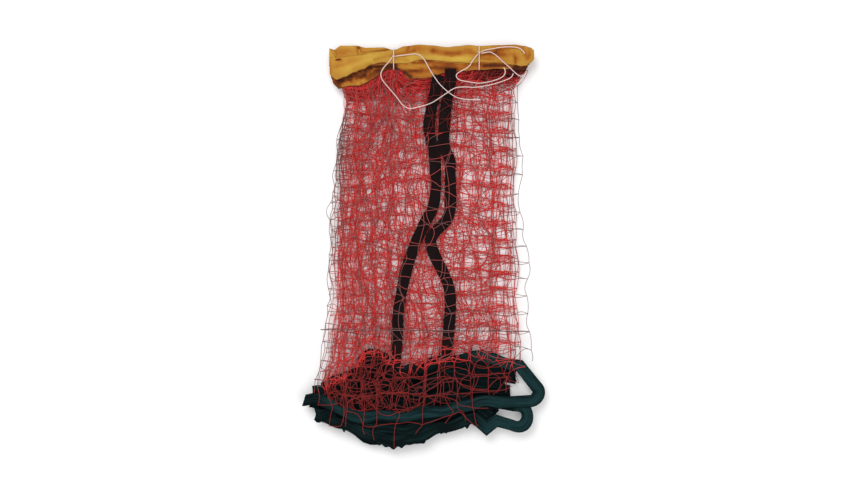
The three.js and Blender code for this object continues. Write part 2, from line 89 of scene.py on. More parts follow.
# Headband: how its passes are stacked and pressed together at the ties, and the middle line of each
# pass below the two that show most, with the share of its width that lies flat.
BAND_PASSES = 16
BAND_WIDTH = 0.038
BAND_HALF_THICKNESS = 0.0005
BAND_RISE = 0.00145
FRONT_PASS_LIFT = 0.00245
BAND_END_JOG = 0.005
BAND_JOG_BEAT = 2.4
EVEN_TURNS = 3
PINCH = 0.0024
PINCH_REACH = 0.025
TIE_LEFT_X = -0.057
TIE_RIGHT_X = 0.101
BAND_LINES = table(
    "x       share third   fourth  fifth   rest",
    (-0.175, 1.00, 0.3500, 0.3110, 0.3110, 0.3422),
    (-0.123, 0.95, 0.3460, 0.3150, 0.3180, 0.3435),
    (-0.057, 0.68, 0.3440, 0.3410, 0.3420, 0.3435),
    (0.010, 0.86, 0.3380, 0.3370, 0.3400, 0.3422),
    (0.101, 0.72, 0.3450, 0.3440, 0.3450, 0.3450),
    (0.200, 0.95, 0.3422, 0.3422, 0.3422, 0.3422),
)
# The passes from the top down. The last name is for all that lie below.
UPPER_PASSES = ("front", "second", "third", "fourth", "fifth", "rest")
# Upper and lower edges of the two passes that show most.
BAND_EDGES = tables(
    "x        top     low",
    front=[
        (-0.1766, 0.3465, 0.3180),
        (-0.1645, 0.3478, 0.3080),
        (-0.1476, 0.3497, 0.3125),
        (-0.1308, 0.3515, 0.3210),
        (-0.1138, 0.3532, 0.3275),
        (-0.0971, 0.3567, 0.3370),
        (-0.0805, 0.3595, 0.3400),
        (-0.0565, 0.3626, 0.3388),
        (-0.0360, 0.3690, 0.3378),
        (-0.0083, 0.3719, 0.3428),
        (0.0102, 0.3706, 0.3430),
        (0.0435, 0.3672, 0.3400),
        (0.0583, 0.3689, 0.3393),
        (0.0823, 0.3713, 0.3386),
        (0.1010, 0.3696, 0.3400),
        (0.1400, 0.3710, 0.3386),
        (0.1665, 0.3718, 0.3352),
        (0.1833, 0.3696, 0.3318),
        (0.1970, 0.3663, 0.3330),
        (0.2010, 0.3620, 0.3380),
    ],
    second=[
        (-0.1766, 0.3654, 0.3340),
        (-0.1674, 0.3626, 0.3350),
        (-0.1545, 0.3700, 0.3350),
        (-0.1249, 0.3700, 0.3345),
        (-0.1082, 0.3663, 0.3340),
        (-0.0768, 0.3669, 0.3345),
        (-0.0565, 0.3626, 0.3365),
        (-0.0472, 0.3640, 0.3270),
        (-0.0287, 0.3640, 0.3085),
        (-0.0028, 0.3600, 0.3090),
        (0.0139, 0.3580, 0.3127),
        (0.0360, 0.3560, 0.3215),
        (0.0600, 0.3570, 0.3236),
        (0.1010, 0.3620, 0.3260),
        (0.1500, 0.3640, 0.3270),
        (0.2010, 0.3630, 0.3330),
    ],
)
# How far the ends of the headband are drawn in below their upper corners, and how far along it.
BAND_LEFT_INSET = table("y inset", (0.290, 0.014), (0.303, 0.004), (0.316, 0.0))
BAND_RIGHT_INSET = table("y inset", (0.322, 0.013), (0.334, 0.009), (0.346, 0.0))
BAND_INSET_REACH = 0.045
# How far the upper edges of the hidden passes stay inside those that show.
EDGE_INSET = 0.0012
# Points along a pass that shows, a hidden one, a turn up to the next pass and a turn that lies flat.
SHOWN_STEPS = 190
HIDDEN_STEPS = 36
FOLD_STEPS = 5
LOOP_STEPS = 24

# Creases of the headband's upper passes, listed one by one: from one end to the other, with the height
# of the ridge (or depth of the trough, below zero) and how wide it is.
BAND_CREASES = tables(
    "x0       y0      x1      y1      height   width",
    front=[
        (-0.168, 0.330, -0.120, 0.341, -0.0012, 0.003),
        (-0.163, 0.3435, -0.154, 0.3440, -0.0034, 0.0016),
        (-0.172, 0.350, -0.164, 0.345, 0.0012, 0.0020),
        (-0.150, 0.326, -0.100, 0.346, 0.0012, 0.007),
        (-0.140, 0.342, -0.098, 0.349, -0.0010, 0.003),
        (-0.057, 0.352, -0.092, 0.344, -0.0018, 0.003),
        (-0.055, 0.352, -0.018, 0.360, -0.0020, 0.003),
        (-0.055, 0.346, -0.030, 0.343, -0.0014, 0.0025),
        (-0.038, 0.349, -0.029, 0.368, -0.0015, 0.003),
        (-0.020, 0.350, 0.020, 0.349, 0.0010, 0.004),
        (0.016, 0.360, 0.051, 0.353, -0.0030, 0.0045),
        (0.051, 0.353, 0.085, 0.360, -0.0028, 0.0045),
        (0.010, 0.347, 0.085, 0.345, 0.0014, 0.004),
        (0.102, 0.352, 0.075, 0.362, -0.0018, 0.003),
        (0.104, 0.352, 0.131, 0.358, -0.0020, 0.003),
        (0.104, 0.347, 0.128, 0.344, -0.0015, 0.0025),
        (0.165, 0.354, 0.170, 0.337, -0.0016, 0.004),
        (0.134, 0.362, 0.178, 0.367, -0.0015, 0.003),
        (0.125, 0.345, 0.160, 0.347, 0.0012, 0.004),
        (0.181, 0.366, 0.190, 0.345, -0.0020, 0.004),
    ],
    second=[
        (-0.123, 0.370, -0.119, 0.352, -0.0030, 0.0032),
        (-0.1175, 0.3535, -0.066, 0.3620, -0.0034, 0.0030),
        (-0.1765, 0.365, -0.168, 0.350, 0.0014, 0.0022),
        (-0.170, 0.362, -0.164, 0.352, -0.0030, 0.0025),
        (-0.160, 0.366, -0.130, 0.367, 0.0012, 0.005),
        (-0.055, 0.335, -0.026, 0.312, -0.0022, 0.0035),
        (-0.040, 0.322, -0.004, 0.326, -0.0024, 0.0022),
        (-0.050, 0.330, 0.012, 0.334, 0.0012, 0.004),
        (-0.020, 0.313, 0.012, 0.318, 0.0012, 0.003),
        (0.010, 0.330, 0.060, 0.327, -0.0018, 0.003),
        (0.110, 0.333, 0.150, 0.334, -0.0022, 0.003),
    ],
    fourth=[
        (-0.094, 0.334, -0.062, 0.328, -0.0040, 0.0065),
        (-0.160, 0.306, -0.112, 0.314, -0.0020, 0.003),
        (-0.150, 0.297, -0.110, 0.304, 0.0016, 0.004),
    ],
)
# Soil and painted shade on the same passes, listed one by one: its middle, how far it reaches along and
# across, and how much browner (or paler, below zero) the cotton is painted there. The dark spots at the
# hole by the left end, in the corner by the left tie and under the right end are painted shade.
BAND_STAINS_AND_SHADE = tables(
    "x       y       along   across  soil",
    front=[
        (-0.126, 0.327, 0.012, 0.008, 0.16),
        (-0.085, 0.348, 0.030, 0.007, -0.25),
        (-0.011, 0.365, 0.032, 0.009, 0.28),
        (-0.020, 0.345, 0.032, 0.006, -0.32),
        (0.050, 0.357, 0.024, 0.006, 0.20),
        (0.050, 0.345, 0.036, 0.005, -0.32),
        (0.135, 0.353, 0.030, 0.012, 0.52),
        (0.170, 0.349, 0.004, 0.012, 0.15),
        (0.186, 0.343, 0.010, 0.010, -0.15),
        (0.194, 0.355, 0.003, 0.010, 0.40),
        (0.149, 0.371, 0.032, 0.003, 0.45),
        (-0.176, 0.330, 0.004, 0.016, 0.45),
        # The hole by the left end, as painted shade.
        (-0.1585, 0.3437, 0.0050, 0.0013, 1.20),
    ],
    second=[
        (-0.152, 0.362, 0.022, 0.009, 0.35),
        (-0.100, 0.363, 0.020, 0.006, 0.12),
        (-0.020, 0.330, 0.030, 0.006, -0.30),
        (0.050, 0.333, 0.030, 0.006, -0.10),
        (0.125, 0.330, 0.030, 0.006, -0.15),
        # The shaded underside at the right end, as painted shade.
        (0.178, 0.326, 0.014, 0.010, 0.90),
    ],
    fourth=[
        (-0.136, 0.316, 0.014, 0.005, 0.30),
        (-0.118, 0.306, 0.013, 0.007, -0.22),
        (-0.150, 0.298, 0.010, 0.005, -0.12),
        # The shaded corner by the left tie, as painted shade.
        (-0.076, 0.335, 0.016, 0.006, 0.45),
    ],
)

# Netting: the limits of the folded layers, with how much of each fold's inset applies there, and
# the height of the pile above the surface.
NET_OUTLINE = table(
    "y       left    right   left_inset right_inset",
    (-0.240, -0.203, 0.186, 1.2, 1.2),
    (-0.190, -0.190, 0.187, 1.5, 1.6),
    (-0.155, -0.193, 0.192, 1.7, 1.7),
    (-0.063, -0.188, 0.188, 1.6, 1.7),
    (0.057, -0.175, 0.179, 1.2, 1.2),
    (0.140, -0.166, 0.180, 0.9, 1.1),
    (0.214, -0.158, 0.173, 0.3, 0.8),
    (0.298, -0.153, 0.176, 0.0, 0.6),
    (0.316, -0.151, 0.180, 0.0, 0.3),
    (0.332, -0.151, 0.189, 0.0, 0.1),
)
NET_TOP = table(
    "y       z",
    (-0.200, 0.02315),
    (-0.020, 0.0144),
    (0.110, 0.0144),
    (0.300, 0.0256),
)
# Lower edge of the layers that are drawn over the bottom tape.
NET_FRONT_END = table(
    "x       y",
    (-0.205, -0.285),
    (-0.165, -0.330),
    (-0.120, -0.352),
    (-0.040, -0.362),
    (0.103, -0.328),
    (0.150, -0.270),
    (0.192, -0.212),
)
# Where the netting starts below the headband, for its outline and on average, the side of a square, the
# folded layers, and how many of them cover the side tapes.
NET_HEAD_Y = 0.330
NET_MEAN_HEAD = 0.322
NET_SQUARE = 0.0325
NET_LAYERS = 16
COVER_LAYERS = 2
# The layers that lie over the heap of bottom tape: the x to the right of which each lies behind the
# heap, and how far its twines stray there. All but the last are tucked under the heap's front run.
HEAP_LAYERS = {
    8: {"until": -0.090, "tangle": 0.007},
    9: {"until": -0.060, "tangle": 0.008},
    10: {"until": -0.020, "tangle": 0.008},
    11: {"until": 0.040, "tangle": 0.008},
    12: {"until": 0.130, "tangle": 0.006},
    13: {"until": 0.200, "tangle": 0.0045},
    14: {"until": 0.200, "tangle": 0.0035},
    15: {"until": 0.300, "tangle": 0.0015},
}
# Heights of those layers on the heap and under its front run, and how the last one falls at the front.
HEAP_TOP = 0.0236
HEAP_TUCK_TOP = 0.0192
HEAP_FRONT_Y = -0.322
HEAP_FRONT_FALL = 0.0045
# How far each fold of the netting stays inside the outline, from the surface up.
FOLD_INSETS = (
    0.016, 0.012, 0.022, 0.020, 0.012, 0.006, 0.026, 0.016,
    0.014, 0.022, 0.028, 0.010, 0.018, 0.002, 0.001, 0.004,
)
# A stretch of twine with no more points than this is left out.
SHORTEST_RUN = 5
# Soil and painted shade of the twine, as a tint: 1 is grey-brown and -1 a deep red. It is soiled at the
# outer folds, less so towards the head, and painted deep red as shade under the headband's right half, over
# the heap and over the side tapes' heads.
SOIL_REACH = 0.024
SOIL_START = 1.2
SOIL_SHARE = 0.8
CLEAN_HEAD = {"y": 0.22, "ramp": 0.06, "left": 0.8, "right": 0.4}
HEAD_SHADE = {"x": 0.06, "x_ramp": 0.05, "y": 0.297, "y_ramp": 0.016, "tint": -0.65}
HEAP_TINT = {"ramp": 0.014, "lead": 0.4, "kept": 0.15, "tint": -0.90}
TAPE_HEADS = {"x": 0.03, "reach": 0.042, "y": 0.205, "ramp": 0.006, "tint": -1.0}

# Side tapes: their depth below the top of the pile, how much deeper their lower ends are tucked under
# the heap and where that starts, and their centre lines, head first.
SIDE_TAPE_DEPTH = 0.0035
SIDE_TAPE_TUCK = 0.0017
SIDE_TAPE_TUCK_Y = -0.190
SIDE_TAPE_TUCK_RAMP = 0.012
SIDE_TAPE_LINES = {
    "side_tape_left": [
        (0.026, 0.314), (0.017, 0.272), (0.010, 0.240), (0.0085, 0.218), (0.0125, 0.194),
        (0.0165, 0.178), (0.0195, 0.158), (0.0205, 0.122), (0.020, 0.095), (0.015, 0.070),
        (0.002, 0.045), (-0.014, 0.011), (-0.028, -0.026), (-0.038, -0.063), (-0.045, -0.100),
        (-0.049, -0.137), (-0.051, -0.174), (-0.053, -0.200), (-0.055, -0.224),
    ],
    "side_tape_right": [
        (0.048, 0.326), (0.0475, 0.303), (0.042, 0.272), (0.0375, 0.240), (0.0365, 0.218),
        (0.035, 0.194), (0.0385, 0.178), (0.047, 0.158), (0.048, 0.122), (0.0475, 0.068),
        (0.039, 0.046), (0.0195, 0.026), (0.0115, 0.009), (0.019, -0.018), (0.033, -0.046),
        (0.044, -0.072), (0.048, -0.100), (0.0465, -0.137), (0.043, -0.174), (0.0415, -0.194),
        (0.040, -0.208),
    ],
}

# Bottom tape: the rise from pass to pass, half of its thickness and width, the room that its passes leave
# at the corner of a loop, the lowest pass that shows and the place where the first one starts.
BOTTOM_RISE = 0.00135
BOTTOM_HALF_THICKNESS = 0.0005
BOTTOM_HALF_WIDTH = 0.011
CORNER_ROOM = 0.010
LOWEST_SHOWN_PASS = 9
BOTTOM_START = {"x": -0.200, "share": 0.6}
# The highest and lowest centre lines of its bunch, and its passes from the surface up, with the share of
# the way down the bunch at each quarter and the x where each pass turns back.
BUNCH = table(
    "x       upper   lower",
    (-0.223, -0.276, -0.302),
    (-0.192, -0.264, -0.324),
    (-0.156, -0.246, -0.332),
    (-0.093, -0.198, -0.359),
    (-0.040, -0.233, -0.358),
    (0.029, -0.215, -0.339),
    (0.103, -0.205, -0.324),
    (0.177, -0.222, -0.318),
)
BOTTOM_ROWS = table(
    "early middle late exit reach",
    (0.88, 0.95, 0.85, 0.65, 0.152),
    (0.72, 0.80, 0.72, 0.50, -0.195),
    (0.59, 0.65, 0.60, 0.50, 0.158),
    (0.50, 0.52, 0.46, 0.45, -0.205),
    (0.33, 0.38, 0.40, 0.40, 0.148),
    (0.30, 0.25, 0.20, 0.10, -0.200),
    (0.08, 0.10, 0.18, 0.25, 0.168),
    (0.02, 0.00, 0.05, 0.00, -0.190),
    (1.00, 0.95, 0.90, 0.93, 0.128),
    (0.50, 0.70, 0.90, 0.40, -0.210),
    (0.15, 0.30, 0.25, 0.20, 0.166),
    (0.10, 0.05, 0.15, 0.10, -0.206),
    (0.85, 0.85, 0.72, 0.75, 0.165),
    (1.00, 1.00, 0.95, 0.85, -0.200),
    (0.00, 0.00, 0.00, 0.00, 0.176),
    (0.74, 0.68, 0.76, 0.25, -0.223),
)
# The turns that lie flat, each after the pass of its number: an arc with its angles in degrees, how far
# its tip droops, the corners after it and where the next pass starts.
BOTTOM_LOOPS = {
    12: {
        "x": 0.1700, "y": -0.3145, "radius": 0.0204, "from": 90, "to": -112, "droop": 0.0,
        "corners": [(0.133, -0.3225), (0.115, -0.337)], "next": {"x": 0.092, "share": 0.93},
    },
    14: {
        "x": 0.1975, "y": -0.2730, "radius": 0.0140, "from": 30, "to": -90, "droop": 0.005,
        "corners": [], "next": {"x": 0.152, "share": 0.69},
    },
}

# Ties: the knots on the front pass, and the routes of the thread ends from them.
KNOTS = {
    "tie_left_knot": (TIE_LEFT_X, 0.3497, 0.0254),
    "tie_right_knot": (TIE_RIGHT_X, 0.3570, 0.0254),
}
THREAD_ENDS = {
    "tie_left_end_a": [
        (-0.0536, 0.3501, 0.0255), (-0.047, 0.3512, 0.0259), (-0.0379, 0.3521, 0.0265),
        (-0.0268, 0.3535, 0.0267), (-0.0165, 0.3543, 0.0267), (-0.0093, 0.3521, 0.0267),
        (-0.0028, 0.3465, 0.0267), (0.0028, 0.3386, 0.0269), (0.0076, 0.3293, 0.0271),
        (0.013, 0.32, 0.0272), (0.0191, 0.3108, 0.0272), (0.0287, 0.2979, 0.0271),
        (0.0427, 0.2849, 0.0268), (0.0577, 0.2749, 0.0265), (0.0657, 0.2725, 0.0264),
        (0.0749, 0.2708, 0.0264), (0.0897, 0.2701, 0.0264), (0.1027, 0.2701, 0.0264),
    ],
    "tie_left_end_b": [
        (-0.0602, 0.3483, 0.0255), (-0.0645, 0.3415, 0.026), (-0.0712, 0.3339, 0.0265),
        (-0.0759, 0.328, 0.0269), (-0.0792, 0.3219, 0.0271), (-0.0805, 0.3164, 0.0272),
        (-0.0792, 0.3099, 0.0272), (-0.0759, 0.3039, 0.0272), (-0.0657, 0.2912, 0.027),
        (-0.0546, 0.2786, 0.0266), (-0.0453, 0.2664, 0.0262), (-0.0389, 0.259, 0.0259),
        (-0.0305, 0.2544, 0.0257), (-0.0231, 0.254, 0.0257), (-0.0165, 0.2553, 0.0258),
        (0.002, 0.2601, 0.0261), (0.0157, 0.2655, 0.0266), (0.0287, 0.2738, 0.0278),
        (0.0361, 0.2788, 0.0289), (0.0427, 0.2831, 0.0293), (0.0509, 0.2886, 0.0287),
        (0.0601, 0.2923, 0.0277), (0.0749, 0.2934, 0.0271), (0.0916, 0.2927, 0.0271),
        (0.1045, 0.2942, 0.0271), (0.1188, 0.2967, 0.0271), (0.1297, 0.2993, 0.0272),
        (0.1391, 0.3023, 0.0272), (0.1489, 0.3058, 0.0272), (0.1563, 0.309, 0.0272),
        (0.1613, 0.313, 0.0272), (0.1637, 0.3182, 0.0272),
    ],
    "tie_right_end_a": [
        (0.0986, 0.3543, 0.0255), (0.0946, 0.3496, 0.026), (0.0879, 0.3404, 0.0266),
        (0.0834, 0.333, 0.027), (0.0768, 0.3275, 0.0271), (0.0685, 0.3232, 0.0272),
        (0.062, 0.3193, 0.0272), (0.0586, 0.3149, 0.0272), (0.0601, 0.3101, 0.0272),
        (0.0657, 0.306, 0.0272), (0.0781, 0.3034, 0.0272), (0.0944, 0.3008, 0.0272),
        (0.1027, 0.3004, 0.0272), (0.1119, 0.3016, 0.0272), (0.1212, 0.3034, 0.0272),
        (0.1304, 0.306, 0.0272), (0.1397, 0.3097, 0.0272), (0.1463, 0.3145, 0.0272),
        (0.1489, 0.32, 0.0272), (0.1484, 0.325, 0.0272), (0.1463, 0.3293, 0.0272),
    ],
    "tie_right_end_b": [
        (0.1044, 0.3588, 0.0255), (0.1085, 0.3602, 0.0258), (0.1129, 0.3616, 0.0261),
        (0.1193, 0.3629, 0.0264), (0.1267, 0.3641, 0.0266), (0.1341, 0.3655, 0.0266),
        (0.1415, 0.3666, 0.0266), (0.1499, 0.3672, 0.0266), (0.155, 0.3674, 0.0266),
        (0.1595, 0.3674, 0.0266), (0.1674, 0.3668, 0.0266), (0.1739, 0.3652, 0.0266),
        (0.1785, 0.3626, 0.0266), (0.1822, 0.359, 0.0266), (0.185, 0.3548, 0.0266),
    ],
    "tie_right_end_c": [
        (0.1046, 0.3558, 0.0255), (0.1085, 0.3564, 0.0258), (0.1129, 0.3571, 0.0261),
        (0.1193, 0.3579, 0.0264), (0.1249, 0.3564, 0.0266), (0.1323, 0.3515, 0.0266),
        (0.1388, 0.3456, 0.0266), (0.1452, 0.3397, 0.0268), (0.1508, 0.3349, 0.027),
        (0.1563, 0.33, 0.0271), (0.1613, 0.3252, 0.0272), (0.1663, 0.3204, 0.0272),
        (0.1717, 0.316, 0.0272), (0.1776, 0.3134, 0.0272), (0.1832, 0.3145, 0.0272),
        (0.1865, 0.3182, 0.0272), (0.1878, 0.3226, 0.0272),
    ],
}


# Finishes: patches, streaks and their shares, threads or plies in a metre, and the relief that they make.
MOTTLE_RANGE = (0.32, 0.68)
BAND_FINISH = {"patch": 0.03, "patch_soil": 0.30, "threads": 1400.0, "relief": 0.0003}
SELVEDGE = {"full": 0.0016, "none": 0.0028, "share": 0.15}
# The range over which the headband turns to its deepest painted shade.
DEEPEST_SHADE_RANGE = (0.85, 1.35)
# The tapes' streaks are painted highlights and shade of creases along their length.
TAPE_FINISH = {"patch": 0.02, "patch_share": 0.15, "streak": 0.005, "streak_share": 0.9, "clean": 0.55}
TAPE_RELIEF = 0.0004
STREAK_SCALE = (0.08, 1.0, 1.0)
SIDE_THREADS = 700.0
BOTTOM_THREADS = 800.0
STRAND_FINISH = {"patch": 0.012, "patch_soil": 0.15, "relief": 0.0001, "strength": 0.6}
THREAD_PLIES = 260.0
TWINE_PLIES = 240.0


def length_property(name, description, default):
    """A length that a user may change."""
    return bpy.props.FloatProperty(name=name, description=description, default=default, unit="LENGTH")


def count_property(name, description, default, lowest):
    """A whole number that a user may change."""
    return bpy.props.IntProperty(name=name, description=description, default=default, min=lowest)


class NetSizes(bpy.types.PropertyGroup):
    """Sizes that change how fine the net looks."""

    twine: length_property("Twine", "Diameter of the netting's twine", 0.00111)
    thread: length_property("Thread", "Diameter of the tie thread", 0.0018)
    columns: count_property("Columns", "Meshes across one folded layer", 12, 4)
    rows: count_property("Rows", "Meshes from the headband down to the bottom tape", 21, 8)
    band_leaf: length_property("Headband cloth", "Thickness of one leaf of the headband", 0.00045)
    tape: length_property("Tape cloth", "Thickness of the side and bottom tapes", 0.0009)
    side_width: length_property("Side tape width", "Width of the side tapes", 0.021)
    bottom_width: length_property("Bottom tape width", "Width of the bottom tape", 0.022)
    seed: count_property("Seed", "Number that settles how the netting lies", 7, 0)


def colour_property(name, description, default):
    """A colour that a user may change."""
    return bpy.props.FloatVectorProperty(
        name=name, description=description, default=default, subtype="COLOR", min=0, max=1)


class NetColours(bpy.types.PropertyGroup):
    """Colours of the net's cloths and twines."""

    band: colour_property("Headband", "Cotton of the headband", (0.55, 0.345, 0.054))
    # Headband: its shade colour serves wear and painted shade; the darkest colour is painted shade in dark
    # corners.
    band_shade: colour_property("Headband shade", "Worn cotton in its creases", (0.32, 0.082, 0.009))
    band_deepest_shade: colour_property("Headband soil", "Soil in the deepest creases", (0.07, 0.018, 0.008))
    band_edge: colour_property("Headband edge", "Selvedge of the headband", (0.62, 0.42, 0.12))
    twine: colour_property("Twine", "Red twine of the netting", (0.72, 0.038, 0.035))
    twine_old: colour_property("Old twine", "Soiled twine at the folds", (0.15, 0.072, 0.067))
    # Deep twine: painted shade for twine under the headband, over the heap and over the side tapes' heads.
    twine_shaded: colour_property("Deep twine", "Twine that lies over dark tape", (0.11, 0.010, 0.009))
    side: colour_property("Side tape", "Black side tapes", (0.008, 0.0045, 0.005))
    side_light: colour_property("Side tape wear", "Rubbed edges of the side tapes", (0.018, 0.009, 0.009))
    # Bottom tape: its dark colour is painted shade on the passes below and at the edges; its light colour
    # is the tape in painted light.
    bottom: colour_property("Bottom tape", "Dark green bottom tape", (0.0024, 0.0060, 0.0065))
    bottom_lit: colour_property("Bottom tape wear", "Rubbed bottom tape", (0.0105, 0.036, 0.039))
    thread: colour_property("Thread", "White tie thread", (0.70, 0.55, 0.51))
    thread_old: colour_property("Old thread", "Soiled tie thread", (0.52, 0.41, 0.36))
    floor: colour_property("Floor", "Pale studio floor", (0.90, 0.90, 0.90))


def ease(share):
    """A share from 0 to 1 with a soft start and end."""
    share = np.clip(share, 0, 1)
    return share * share * (3 - 2 * share)


def between(first, second, share):
    """A value on the way from the first to the second."""
    return first + (second - first) * share


def read(rows, place, column, at):
    """One column of a table at each place, eased between the rows on either side."""
    places = rows[place]
    at = np.clip(at, places[0], places[-1])
    row = np.clip(np.searchsorted(places, at) - 1, 0, len(places) - 2)
    share = ease((at - places[row]) / (places[row + 1] - places[row]))
    return between(rows[column][row], rows[column][row + 1], share)


def unit(vectors):
    """The same directions with a length of one."""
    return vectors / np.maximum(np.linalg.norm(vectors, axis=-1, keepdims=True), 1e-9)


def distance_along(line):
    """Distance of each point from the start of a line."""
    steps = np.linalg.norm(np.diff(line, axis=0), axis=1)
    return np.concatenate([[0.0], np.cumsum(steps)])


def even_steps(line, step):
    """The same line with points at even steps."""
    along = distance_along(line)
    stops = np.linspace(0, along[-1], max(3, round(along[-1] / step) + 1))
    return np.column_stack([np.interp(stops, along, line[:, axis]) for axis in range(3)])


def smooth_route(points, step, curve_steps=16):
    """Points at even steps along a smooth curve through a route."""
    points = np.asarray(points, float)
    padded = np.vstack([2 * points[0] - points[1], points, 2 * points[-1] - points[-2]])
    share = np.linspace(0, 1, curve_steps, endpoint=False)[:, None]
    pieces = []
    for a, b, c, d in zip(padded, padded[1:], padded[2:], padded[3:]):
        bend = (2 * a - 5 * b + 4 * c - d) * share**2 + (3 * b - a - 3 * c + d) * share**3
        pieces.append(0.5 * (2 * b + (c - a) * share + bend))
    return even_steps(np.vstack([*pieces, points[-1:]]), step)


def ripples(rng, count, shortest, longest):
    """A few random waves over a surface, as wave numbers along x and y and a phase."""
    lengths = rng.uniform(shortest, longest, count)
    turns = rng.uniform(0, 2 * math.pi, count)
    number = 2 * math.pi / lengths
    return number * np.cos(turns), number * np.sin(turns), rng.uniform(0, 2 * math.pi, count)


def ripple_at(waves, x, y):
    """Height of those waves at each place, mostly from -1 to 1."""
    across, up, phase = waves
    angle = np.multiply.outer(x, across) + np.multiply.outer(y, up) + phase
    return np.sin(angle).sum(-1) / math.sqrt(len(phase))


def wave_along(rng, waves, distance):
    """Height of new random waves along a line. They are given as ripples takes them."""
    return ripple_at(ripples(rng, *waves), distance, distance * 0)


def sideways(along, level=0.5):
    """A level direction square to each step of a line, kept from flipping where the line turns over."""
    side = np.stack([-along[:, 1], along[:, 0], np.zeros(len(along))], axis=1)
    size = np.linalg.norm(side, axis=1)
    last_level = np.maximum.accumulate(np.where(size > level, np.arange(len(side)), 0))
    side = unit(side[last_level])
    turned = np.where((side[1:] * side[:-1]).sum(1) < 0, -1.0, 1.0)
    return side * np.concatenate([[1.0], np.cumprod(turned)])[:, None]


def directions(line):
    """Directions across a line and out of it at each of its points."""
    along = unit(np.gradient(line, axis=0))
    across = sideways(along)
    return across, np.cross(along, across)


class Tubes:
    """Gathers tubes and knots and joins them into one mesh."""

    PLY_WAIST = 0.74

    def __init__(self):
        self.points = []
        self.faces = []
        self.uvs = []
        self.tints = []
        self.count = 0

    def add_faces(self, points, faces, uvs, tints):
        self.points.append(points)
        self.faces.extend((np.asarray(face) + self.count).tolist() for face in faces)
        self.uvs.append(uvs)
        self.tints.append(tints)
        self.count += len(points)

    def add_line(self, line, radius, sides, tint, turns=0.0):
        """A tube round a line. With turns per metre it is laid up from two plies."""
        across, normal = directions(line)
        reach = distance_along(line)
        angle = 2 * math.pi * np.arange(sides) / sides
        thick = np.full((len(line), sides), radius)
        if turns:
            lay = np.abs(np.cos(angle[None, :] + 2 * math.pi * turns * reach[:, None]))
            thick = radius * between(self.PLY_WAIST, 1, lay)
        cosine = np.cos(angle)[None, :, None]
        sine = np.sin(angle)[None, :, None]
        ring = across[:, None] * cosine + normal[:, None] * sine
        points = (line[:, None] + ring * thick[..., None]).reshape(-1, 3)
        step, side = np.meshgrid(np.arange(len(line) - 1), np.arange(sides), indexing="ij")
        after = (side + 1) % sides
        near = step * sides
        far = near + sides
        walls = np.stack([near + side, near + after, far + after, far + side], axis=-1).reshape(-1, 4)
        low = side / sides
        high = (side + 1) / sides
        uvs = np.stack([
            np.stack([reach[step], low], -1), np.stack([reach[step], high], -1),
            np.stack([reach[step + 1], high], -1), np.stack([reach[step + 1], low], -1),
        ], axis=2).reshape(-1, 2)
        ends = [list(range(sides))[::-1], list(range(len(points) - sides, len(points)))]
        end_uvs = np.zeros((2 * sides, 2))
        tints = np.repeat(np.broadcast_to(tint, len(line)), sides)
        self.add_faces(points, [*walls, *ends], np.vstack([uvs, end_uvs]), tints)

    def add_knots(self, places, radius, tints):
        """A small eight-sided lump at each place."""
        corners = radius * np.array([
            (1, 0, 0), (0, 1, 0), (-1, 0, 0), (0, -1, 0), (0, 0, 1), (0, 0, -1)], float)
        sides = np.array([
            (0, 1, 4), (1, 2, 4), (2, 3, 4), (3, 0, 4), (1, 0, 5), (2, 1, 5), (3, 2, 5), (0, 3, 5)])
        points = (places[:, None] + corners[None]).reshape(-1, 3)
        faces = (sides[None] + 6 * np.arange(len(places))[:, None, None]).reshape(-1, 3)
        self.add_faces(points, faces, np.zeros((3 * len(faces), 2)), np.repeat(tints, 6))

    def build(self, name, material):
        """The joined mesh as an object."""
        mesh = bpy.data.meshes.new(name)
        mesh.from_pydata(np.vstack(self.points).tolist(), [], self.faces)
        mesh.uv_layers.new(name="UVMap").data.foreach_set("uv", np.vstack(self.uvs).ravel())
        tint = mesh.attributes.new("tint", "FLOAT", "POINT")
        tint.data.foreach_set("value", np.concatenate(self.tints))
        mesh.shade_smooth()
        return link(name, mesh, material)


def link(name, mesh, material):
    """A new object in the scene, with its mesh and material."""
    piece = bpy.data.objects.new(name, mesh)
    mesh.materials.append(material)
    bpy.context.scene.collection.objects.link(piece)
    return piece


def cloth(name, places, uvs, thickness, material, wear_and_shade):
    """A sheet of cloth: a flat grid whose points are moved to their places, and given a thickness."""
    columns, rows = places.shape[:2]
    sheet = bmesh.new()
    uv_layer = sheet.loops.layers.uv.new("UVMap")
    wear_and_shade_layer = sheet.verts.layers.float.new("wear_and_shade")
    bmesh.ops.create_grid(sheet, x_segments=columns - 1, y_segments=rows - 1, size=0.5)
    cells = {}
    for vert in sheet.verts:
        cells[vert] = round((vert.co.x + 0.5) * (columns - 1)), round((vert.co.y + 0.5) * (rows - 1))
    for vert, cell in cells.items():
        vert.co = places[cell]
        vert[wear_and_shade_layer] = wear_and_shade[cell]
    for face in sheet.faces:
        face.smooth = True
        for corner in face.loops:
            corner[uv_layer].uv = uvs[cells[corner.vert]]
    mesh = bpy.data.meshes.new(name)
    sheet.to_mesh(mesh)
    sheet.free()
    piece = link(name, mesh, material)
    solid = piece.modifiers.new("Cloth thickness", "SOLIDIFY")
    solid.thickness = thickness
    solid.offset = 0
    return piece


def band_row(number):
    """The name of a headband pass, which are counted from the surface up."""
    return UPPER_PASSES[min(BAND_PASSES - 1 - number, len(UPPER_PASSES) - 1)]


